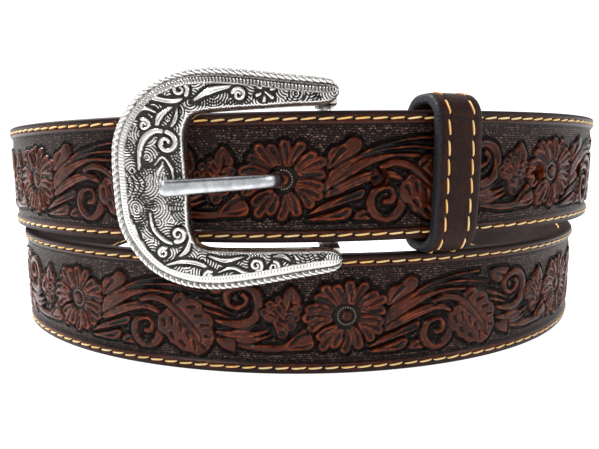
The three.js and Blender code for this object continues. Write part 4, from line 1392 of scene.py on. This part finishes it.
def engrave():
    """The buckle face's scrollwork: raised bands, and fine lines cut between them."""
    canvas = Canvas((-53, 5), (-28, 28), 0.09)
    fill_with_arcs(canvas)
    tool = Tooling(canvas, 1.0)

    def scroll(points, widths):
        tool.stem(points, widths, 0.1, 0.1, 0.34)

    def curl(middle, radius, turns, start, sense, widths):
        tool.stem(spiral(middle, radius, turns, start, sense, 0.22, 16), widths, 0.12, 0.1, 0.36)

    def leaf(points, width):
        scroll(points, [0.25] + [width] * (len(points) - 2) + [0.2])
        tool.cut(points, [0.08, 0.2, 0.06], 0.3)

    def hatch(start, end, side, count, reach, lean=0.5):
        """Comb lines from a rail between two points, out to one side."""
        start, end = np.array(start, float), np.array(end, float)
        along = unit(end - start)
        over = np.array([-along[1], along[0]]) * side
        for share in np.linspace(0, 1, count):
            foot = start + (end - start) * share
            size = reach * (0.55 + 0.45 * math.sin(math.pi * min(share + 0.15, 1)))
            tip = foot + over * size + along * size * lean
            middle = foot + (tip - foot) * 0.55 - along * size * 0.08
            tool.cut([foot, middle, tip], [0.13, 0.16, 0.08], 0.3)

    def arcs(middle, first, count, low, high):
        for k in range(count):
            angle = np.radians(np.linspace(low, high, 9))
            tool.cut(circle(angle, first + 0.6 * k, middle), [0.1, 0.15, 0.1], 0.26)

    # Upper half
    hatch((-41.6, 4.2), (-46.8, 11.6), 1, 14, 2.6)
    hatch((-43.0, 17.0), (-37.6, 20.4), 1, 10, 1.5)
    arcs((-30.4, 3.4), 3.4, 8, 120, 215)
    arcs((-41.5, 1.0), 1.6, 5, 60, 170)
    scroll([(-48.4, 8.4), (-47.3, 12.4), (-45.4, 15.6), (-42.0, 17.4), (-38.2, 15.8)],
           [0.3, 0.6, 0.7, 0.5, 0.3])
    curl((-42.3, 13.7), 1.4, 1.3, 110, -1, [0.5, 0.45, 0.3])
    leaf([(-39.5, 12.2), (-38.5, 15.4), (-35.0, 17.8)], 0.85)
    leaf([(-36.4, 12.6), (-34.9, 14.6), (-34.2, 17.2)], 0.5)
    scroll([(-44.4, 3.6), (-44.0, 7.6), (-42.6, 10.6), (-40.0, 12.2), (-37.0, 11.9)],
           [0.3, 0.6, 0.8, 0.7, 0.6])
    curl((-37.4, 9.4), 2.5, 1.2, 80, -1, [0.65, 0.6, 0.4])
    scroll([(-40.6, 4.4), (-38.4, 6.2), (-36.6, 3.6), (-36.2, 0.8)], [0.2, 0.4, 0.4, 0.2])
    leaf([(-43.2, 20.6), (-39.0, 19.4), (-34.6, 18.7), (-31.6, 20.2)], 0.6)
    curl((-33.4, 21.2), 1.9, 1.3, 320, 1, [0.6, 0.5, 0.3])
    leaf([(-30.4, 18.6), (-26.6, 20.6), (-20.4, 21.6)], 0.95)
    scroll([(-30.0, 22.8), (-26.0, 23.6), (-21.4, 23.0)], [0.2, 0.4, 0.2])
    hatch((-31.0, 17.5), (-17.5, 17.5), 1, 24, 1.3, 0.1)
    curl((-20.0, 19.6), 1.5, 1.4, 160, -1, [0.5, 0.45, 0.3])
    for tip in circle(np.radians(20 + 60 * np.arange(6)), 2.0, (-14.0, 20.0)):
        scroll([(-14.0, 20.0), tip], [0.3, 0.5])
    # Lower half
    hatch((-41.8, -5.0), (-45.6, -13.0), -1, 15, 2.4)
    arcs((-30.0, -3.0), 3.6, 9, 150, 235)
    arcs((-42.0, -1.5), 1.6, 5, 190, 300)
    scroll([(-47.6, -8.0), (-45.6, -13.6), (-42.0, -18.4), (-37.0, -21.8)], [0.3, 0.5, 0.5, 0.3])
    scroll([(-42.6, -6.8), (-42.0, -10.6), (-39.4, -13.4), (-36.6, -14.4)], [0.25, 0.5, 0.6, 0.4])
    curl((-36.1, -12.0), 1.8, 1.3, 250, 1, [0.6, 0.5, 0.3])
    curl((-40.0, -16.4), 1.3, 1.3, 60, 1, [0.5, 0.4, 0.3])
    leaf([(-36.4, -17.6), (-34.2, -15.8), (-33.2, -12.6)], 0.7)
    leaf([(-39.4, -19.4), (-35.4, -18.6), (-31.0, -19.4), (-28.6, -21.4)], 0.6)
    curl((-29.3, -22.4), 1.4, 1.3, 60, 1, [0.5, 0.45, 0.3])
    leaf([(-35.6, -22.8), (-31.6, -24.0), (-26.4, -24.0)], 0.4)
    leaf([(-29.0, -17.4), (-25.2, -18.6), (-20.6, -17.8)], 0.6)
    scroll([(-27.0, -21.4), (-23.6, -20.4), (-20.4, -21.8), (-17.4, -22.4)], [0.2, 0.5, 0.5, 0.3])
    curl((-17.9, -20.0), 1.6, 1.4, 270, 1, [0.5, 0.45, 0.3])
    curl((-13.7, -20.6), 1.4, 1.3, 80, -1, [0.45, 0.4, 0.3])
    leaf([(-13.6, -18.0), (-11.5, -18.0), (-9.6, -19.4)], 0.5)
    # Both arm tips: a row of bent strokes, then rays; and arrow lines across the bow's middle
    for side in (1, -1):
        for x in -9.4 + 1.2 * np.arange(6):
            tool.cut([(x, side * 17.8), (x + 0.9, side * 19.6), (x, side * 21.4)], [0.12, 0.16, 0.12], 0.3)
        for ray in circle(np.radians(np.linspace(60, 250, 9))) * (1, side):
            start = np.array((-1.0, side * 19.3))
            tool.cut([start + ray * 0.7, start + ray * 2.1], [0.1, 0.18], 0.3)
    for k, x in enumerate((-48.6, -47.2, -45.8, -44.4)):
        low = 4.2 - 0.3 * k
        tool.cut([(x - 0.6, low), (x + 1.3, 0.0), (x - 0.6, -low)], [0.14, 0.2, 0.14], 0.32)
    return canvas


ENGRAVED = engrave()


# Over the face, as distances from the outer edge: the rope, the ticked bevel and the groove between
ROPE_EDGE = 1.58
ROPE_MIDDLE, ROPE_HALF = 0.78, 0.8
ROPE_GROOVE, BEVEL_GROOVE = 1.62, 3.75
TICK_PITCH = 0.8
FACE_COLUMNS = 74
BOW_STATIONS = 1081


def bow_stations():
    """Even stations along the C: the length run, and the outer and inner edges there."""
    mirrored = [(ox, -oz, ix, -iz) for ox, oz, ix, iz in FRAME_OUTLINE[1:]]
    rows = np.array(FRAME_OUTLINE[::-1] + mirrored)
    t = np.linspace(0, 1, 8001)
    run = run_along(spline_at(rows[:, :2], t))
    along = np.linspace(0, run[-1], BOW_STATIONS)
    t = np.interp(along, run, t)
    return along, spline_at(rows[:, :2], t), spline_at(rows[:, 2:], t)


def make_buckle_frame():
    along, outer, inner = bow_stations()
    width = np.linalg.norm(outer - inner, axis=1)
    fit = np.minimum(1, width / FULL_WIDTH)[:, None]
    # Columns run over the face from the inner edge to the outer, down that side, and along the back
    q = np.concatenate([[0, 0], np.linspace(0, 1, FACE_COLUMNS), [1, 1], np.linspace(1, 0, 6)])
    low = np.concatenate([[0.35, 0.8], np.ones(FACE_COLUMNS), [0.8, 0.35], np.zeros(6)])
    place = inner[:, None] * (1 - q[None, :, None]) + outer[:, None] * q[None, :, None]
    inside = q[None] * width[:, None] / fit
    outside = (1 - q[None]) * width[:, None] / fit
    rope_pitch = along[-1] / round(along[-1] / ROPE_PITCH)
    phase = 2 * np.pi * (along[:, None] / rope_pitch + 0.62 * (outside - 0.75))
    strand = np.abs(np.cos(phase / 2)) ** 0.55
    arch = np.sqrt(np.clip(1 - ((outside - ROPE_MIDDLE) / ROPE_HALF) ** 2, 0, 1))
    rope = 2.6 + 1.15 * arch - 0.34 * (1 - strand)
    bevel = 3.15 + 1.2 * np.clip((outside - 1.6) / 2.3, 0, 1) ** 0.8
    field = np.minimum(4.4 - 1.8 * np.clip(1 - inside / 1.8, 0, 1) ** 2.2, bevel)
    engraved = ENGRAVED.sample(ENGRAVED.height, place[..., 0], place[..., 1])
    engraved = engraved * smoothstep(3.5, 4.0, outside) * smoothstep(0.5, 1.1, inside)
    ticks = 0.2 * np.abs(np.sin(np.pi * along[:, None] / TICK_PITCH)) ** 8
    engraved = engraved - ticks * smoothstep(2.3, 2.6, outside) * smoothstep(3.5, 3.2, outside)
    height = np.where(outside < ROPE_EDGE, rope, field + np.clip(engraved, -0.5, 0.3))
    height = height * (0.7 + 0.3 * fit) * low[None]
    own = np.stack([place[..., 0], frame_back(place[..., 0]) - height, place[..., 1]], axis=-1)
    points = from_buckle(own)
    rope_cut = smoothstep(0.7, 0.3, strand) * (outside < ROPE_EDGE)
    groove = bell(outside - ROPE_GROOVE, 0.2) + 0.8 * bell(outside - BEVEL_GROOVE, 0.16)
    cut = np.maximum(0.95 * smoothstep(-0.08, -0.2, engraved), np.maximum(0.9 * rope_cut, 0.8 * groove))
    cut = np.where((low == 1)[None], cut, 0.15)
    shape = cut.shape
    faces, normals, caps = outward(points, grid_faces(*shape), grid_normals(points), end_caps(*shape))
    piece("buckle_bow", points.reshape(-1, 3), faces.tolist() + caps, SILVER,
          ["buckle_frame"], {"place": own.reshape(-1, 3), "cut": cut.ravel()}, normals.reshape(-1, 3))


def outward(points, faces, normals, caps):
    """Turns a closed grid's faces and normals outwards, going by its signed volume."""
    flat = points.reshape(-1, 3)
    flat = flat - flat.mean(axis=0)
    a, b, c, d = (flat[faces[:, k]] for k in range(4))
    volume = np.sum(np.cross(a, b) * c) + np.sum(np.cross(a, c) * d)
    if volume < 0:
        return faces[:, ::-1], -normals, [cap[::-1] for cap in caps]
    return faces, normals, caps


BAR_HALF = 18.1
LUG_RADIUS = 2.6
# A lug's layers: distance from the buckle's middle, and how far the layer's edge is drawn in
LUG_LAYERS = ((17.1, 0.3), (17.25, 0.08), (17.4, 0), (18.8, 0), (18.95, 0.08), (19.1, 0.3))


def make_bar_and_lugs():
    """The bar that the strap folds round, and the lug behind each arm's end that carries it."""
    turn = np.radians(np.arange(0, 360, 10))
    ring = np.column_stack([circle(turn, BAR_RADIUS), 0 * turn])
    points = [point + (0, BAR[1], z) for z in np.linspace(-BAR_HALF, BAR_HALF, 9) for point in ring]
    faces = grid_faces(9, len(turn)).tolist()
    foot = frame_back(0) - 1
    top = circle(np.radians(np.linspace(180, 0, 19)), LUG_RADIUS, (0, BAR[1]))
    outline = np.vstack([(-LUG_RADIUS, foot), top, (LUG_RADIUS, foot)])
    middle = outline.mean(axis=0)
    for side in (1, -1):
        start = len(points)
        for z, inset in LUG_LAYERS:
            flat = middle + (outline - middle) * (1 - inset / LUG_RADIUS)
            points.extend(np.column_stack([flat, np.full(len(flat), side * z)]))
        quads = (grid_faces(len(LUG_LAYERS), len(outline)) + start).tolist()
        quads += end_caps(len(LUG_LAYERS), len(outline), start)
        faces.extend([quad[::-side] for quad in quads])
    points = np.array(points)
    values = {"place": points, "cut": np.full(len(points), 0.12)}
    item = piece("buckle_bar", from_buckle(points), faces, SILVER, ["buckle_frame"], values)
    item.data.set_sharp_from_angle(angle=math.radians(50))


make_buckle_frame()
make_bar_and_lugs()


# Prong: x, y, width and thickness along its middle line

PRONG_LINE = np.array([
    (-2.8, -80.5, 2.6, 2.0), (-5.6, -81.3, 2.7, 2.0), (-8.4, -82.5, 2.9, 2.1), (-10.9, -84.5, 3.1, 2.1),
    (-12.7, -87.0, 3.3, 2.2), (-14.6, -89.3, 3.4, 2.4), (-20.0, -91.5, 3.5, 2.7), (-30.0, -93.4, 3.7, 3.0),
    (-36.6, -94.8, 3.9, 3.1), (-38.0, -95.1, 3.5, 2.8), (-38.8, -95.3, 2.4, 1.9),
])


# The prong's section is between a round and a rounded oblong
PRONG_POWER = 0.8


def make_prong():
    t = np.linspace(0, 1, 260)
    rows = spline_at(PRONG_LINE, t)
    line, width, thick = rows[:, :2], rows[:, 2], rows[:, 3]
    along = unit(np.gradient(line, axis=0))
    around = circle(np.radians(np.arange(0, 360, 7.5)))
    cos, sin = (np.sign(around) * np.abs(around) ** PRONG_POWER).T
    across = thick[:, None] / 2 * cos[None]
    drop = (0.33 - 0.023 * (line[:, :1] + 14)) * smoothstep(-2.8, -9, line[:, :1])
    height = width[:, None] / 2 * sin[None] - drop
    x = line[:, :1] - along[:, 1:] * across
    y = line[:, 1:] + along[:, :1] * across
    points = np.stack([x, y, height], axis=-1)
    shape = points.shape[:2]
    faces, _, caps = outward(points, grid_faces(*shape), grid_normals(points), end_caps(*shape))
    values = {"place": points.reshape(-1, 3)}
    item = piece("prong_tongue", from_buckle(points).reshape(-1, 3), faces.tolist() + caps, STEEL,
                 ["prong"], values)
    item.data.set_sharp_from_angle(angle=math.radians(55))
    # The ring round the bar, a rounded oblong swept round it
    profile = []
    for cx, cz, start in ((3.5, 1.7, 0), (2.75, 1.7, 90), (2.75, -1.7, 180), (3.5, -1.7, 270)):
        profile.extend(circle(np.radians(np.linspace(start, start + 90, 6)), 0.5, (cx, cz)))
    reach, height = np.array(profile).T
    turn = np.radians(np.arange(0, 360, 5))[:, None]
    across, back = np.cos(turn) * reach, BAR[1] + np.sin(turn) * reach
    points = np.stack(np.broadcast_arrays(across, back, height), axis=-1)
    faces = grid_faces(*points.shape[:2], closed_rows=True)
    normals = grid_normals(points, closed_rows=True)
    faces, normals, _ = outward(points, faces, normals, [])
    piece("prong_ring", from_buckle(points).reshape(-1, 3), faces.tolist(), STEEL,
          ["prong"], {"place": points.reshape(-1, 3)})


make_prong()


# Floor, light and camera. The floor and the lights are in metres.


FLOOR_RADIUS = 2.0
COVE_RADIUS = 0.6


def make_floor():
    """A round floor that rises into a wall on every side."""
    turn = np.radians(np.arange(0, 360, 5))
    run = [(0.02, 0.0), *((reach, 0.0) for reach in (0.5, 1.0, 1.5, FLOOR_RADIUS))]
    for angle in np.radians(np.arange(10, 91, 10)):
        run.append((FLOOR_RADIUS + COVE_RADIUS * math.sin(angle), COVE_RADIUS * (1 - math.cos(angle))))
    run.append((FLOOR_RADIUS + COVE_RADIUS, 2.6))
    points = [(reach * math.cos(a), reach * math.sin(a), z) for reach, z in run for a in turn]
    quads = grid_faces(len(run), len(turn)).tolist() + [list(range(len(turn)))]
    mesh = bpy.data.meshes.new("floor")
    mesh.from_pydata(points, [], quads)
    mesh.polygons.foreach_set("use_smooth", np.ones(len(mesh.polygons), bool))
    material, n, shader = new_material("floor")
    shader.inputs["Base Color"].default_value = (0.5, 0.5, 0.5, 1)
    shader.inputs["Roughness"].default_value = 0.9
    shader.inputs["Emission Color"].default_value = (1, 1, 1, 1)
    # The floor glows under and behind the part, and less towards the dim front of the room
    place = n.add("ShaderNodeNewGeometry").outputs["Position"]
    depth = n.add("ShaderNodeSeparateXYZ", {0: place}).outputs["Y"]
    n.put(shader.inputs["Emission Strength"], n.ramp(depth, -0.32, -0.12, 0.14, 0.86))
    mesh.materials.append(material)
    floor = bpy.data.objects.new("floor", mesh)
    bpy.context.scene.collection.objects.link(floor)
    floor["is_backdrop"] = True


# Name, place, what it aims at, size and power
LIGHTS = [
    ("key", (-0.42, 0.16, 0.62), (0, -0.07, 0.03), (0.12, 0.12), 9.0),
    ("front", (-0.5, -0.62, 0.7), (0, -0.05, 0.04), (0.1, 0.1), 2.6),
    ("fill", (0, -0.9, 0.3), (0, 0, 0.05), (1.4, 0.6), 1.2),
    ("right", (0.7, -0.35, 0.35), (0, -0.05, 0.04), (0.12, 0.4), 1.0),
    ("top", (0.0, 0.0, 0.9), (0, 0, 0), (0.9, 0.3), 1.2),
    ("backdrop", (0.0, 0.5, 1.6), (0, 1.6, 0.5), (2.4, 0.5), 8),
]


def make_light():
    for name, place, target, size, power in LIGHTS:
        light = bpy.data.lights.new(name, "AREA")
        light.shape = "RECTANGLE"
        light.size, light.size_y = size
        light.energy = power
        item = bpy.data.objects.new(name, light)
        item.location = place
        aim = Vector(target) - Vector(place)
        item.rotation_euler = aim.to_track_quat("-Z", "Y").to_euler()
        bpy.context.scene.collection.objects.link(item)
    world = bpy.data.worlds.new("studio")
    world.use_nodes = True
    bpy.context.scene.world = world
    background = world.node_tree.nodes["Background"]
    background.inputs["Color"].default_value = (1, 1, 1, 1)
    background.inputs["Strength"].default_value = 0.035


CAMERA_PLACE = (1.09, -203.5, 57.43)
CAMERA_DROP = 8.37
CAMERA_LENS = 28.63


def make_camera():
    camera = bpy.data.cameras.new("camera")
    camera.sensor_width = 36
    camera.lens = CAMERA_LENS
    camera.clip_start = 0.01
    item = bpy.data.objects.new("camera", camera)
    item.location = to_row(CAMERA_PLACE)
    item.rotation_euler = (math.radians(90 - CAMERA_DROP), 0, 0)
    bpy.context.scene.collection.objects.link(item)
    bpy.context.scene.camera = item


make_floor()
make_light()
make_camera()
bpy.context.scene.view_settings.view_transform = "Standard"

boxes = {"cad": CAD_BOX, "visual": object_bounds()}
{key: [list(corner) for corner in box] for key, box in boxes.items()}
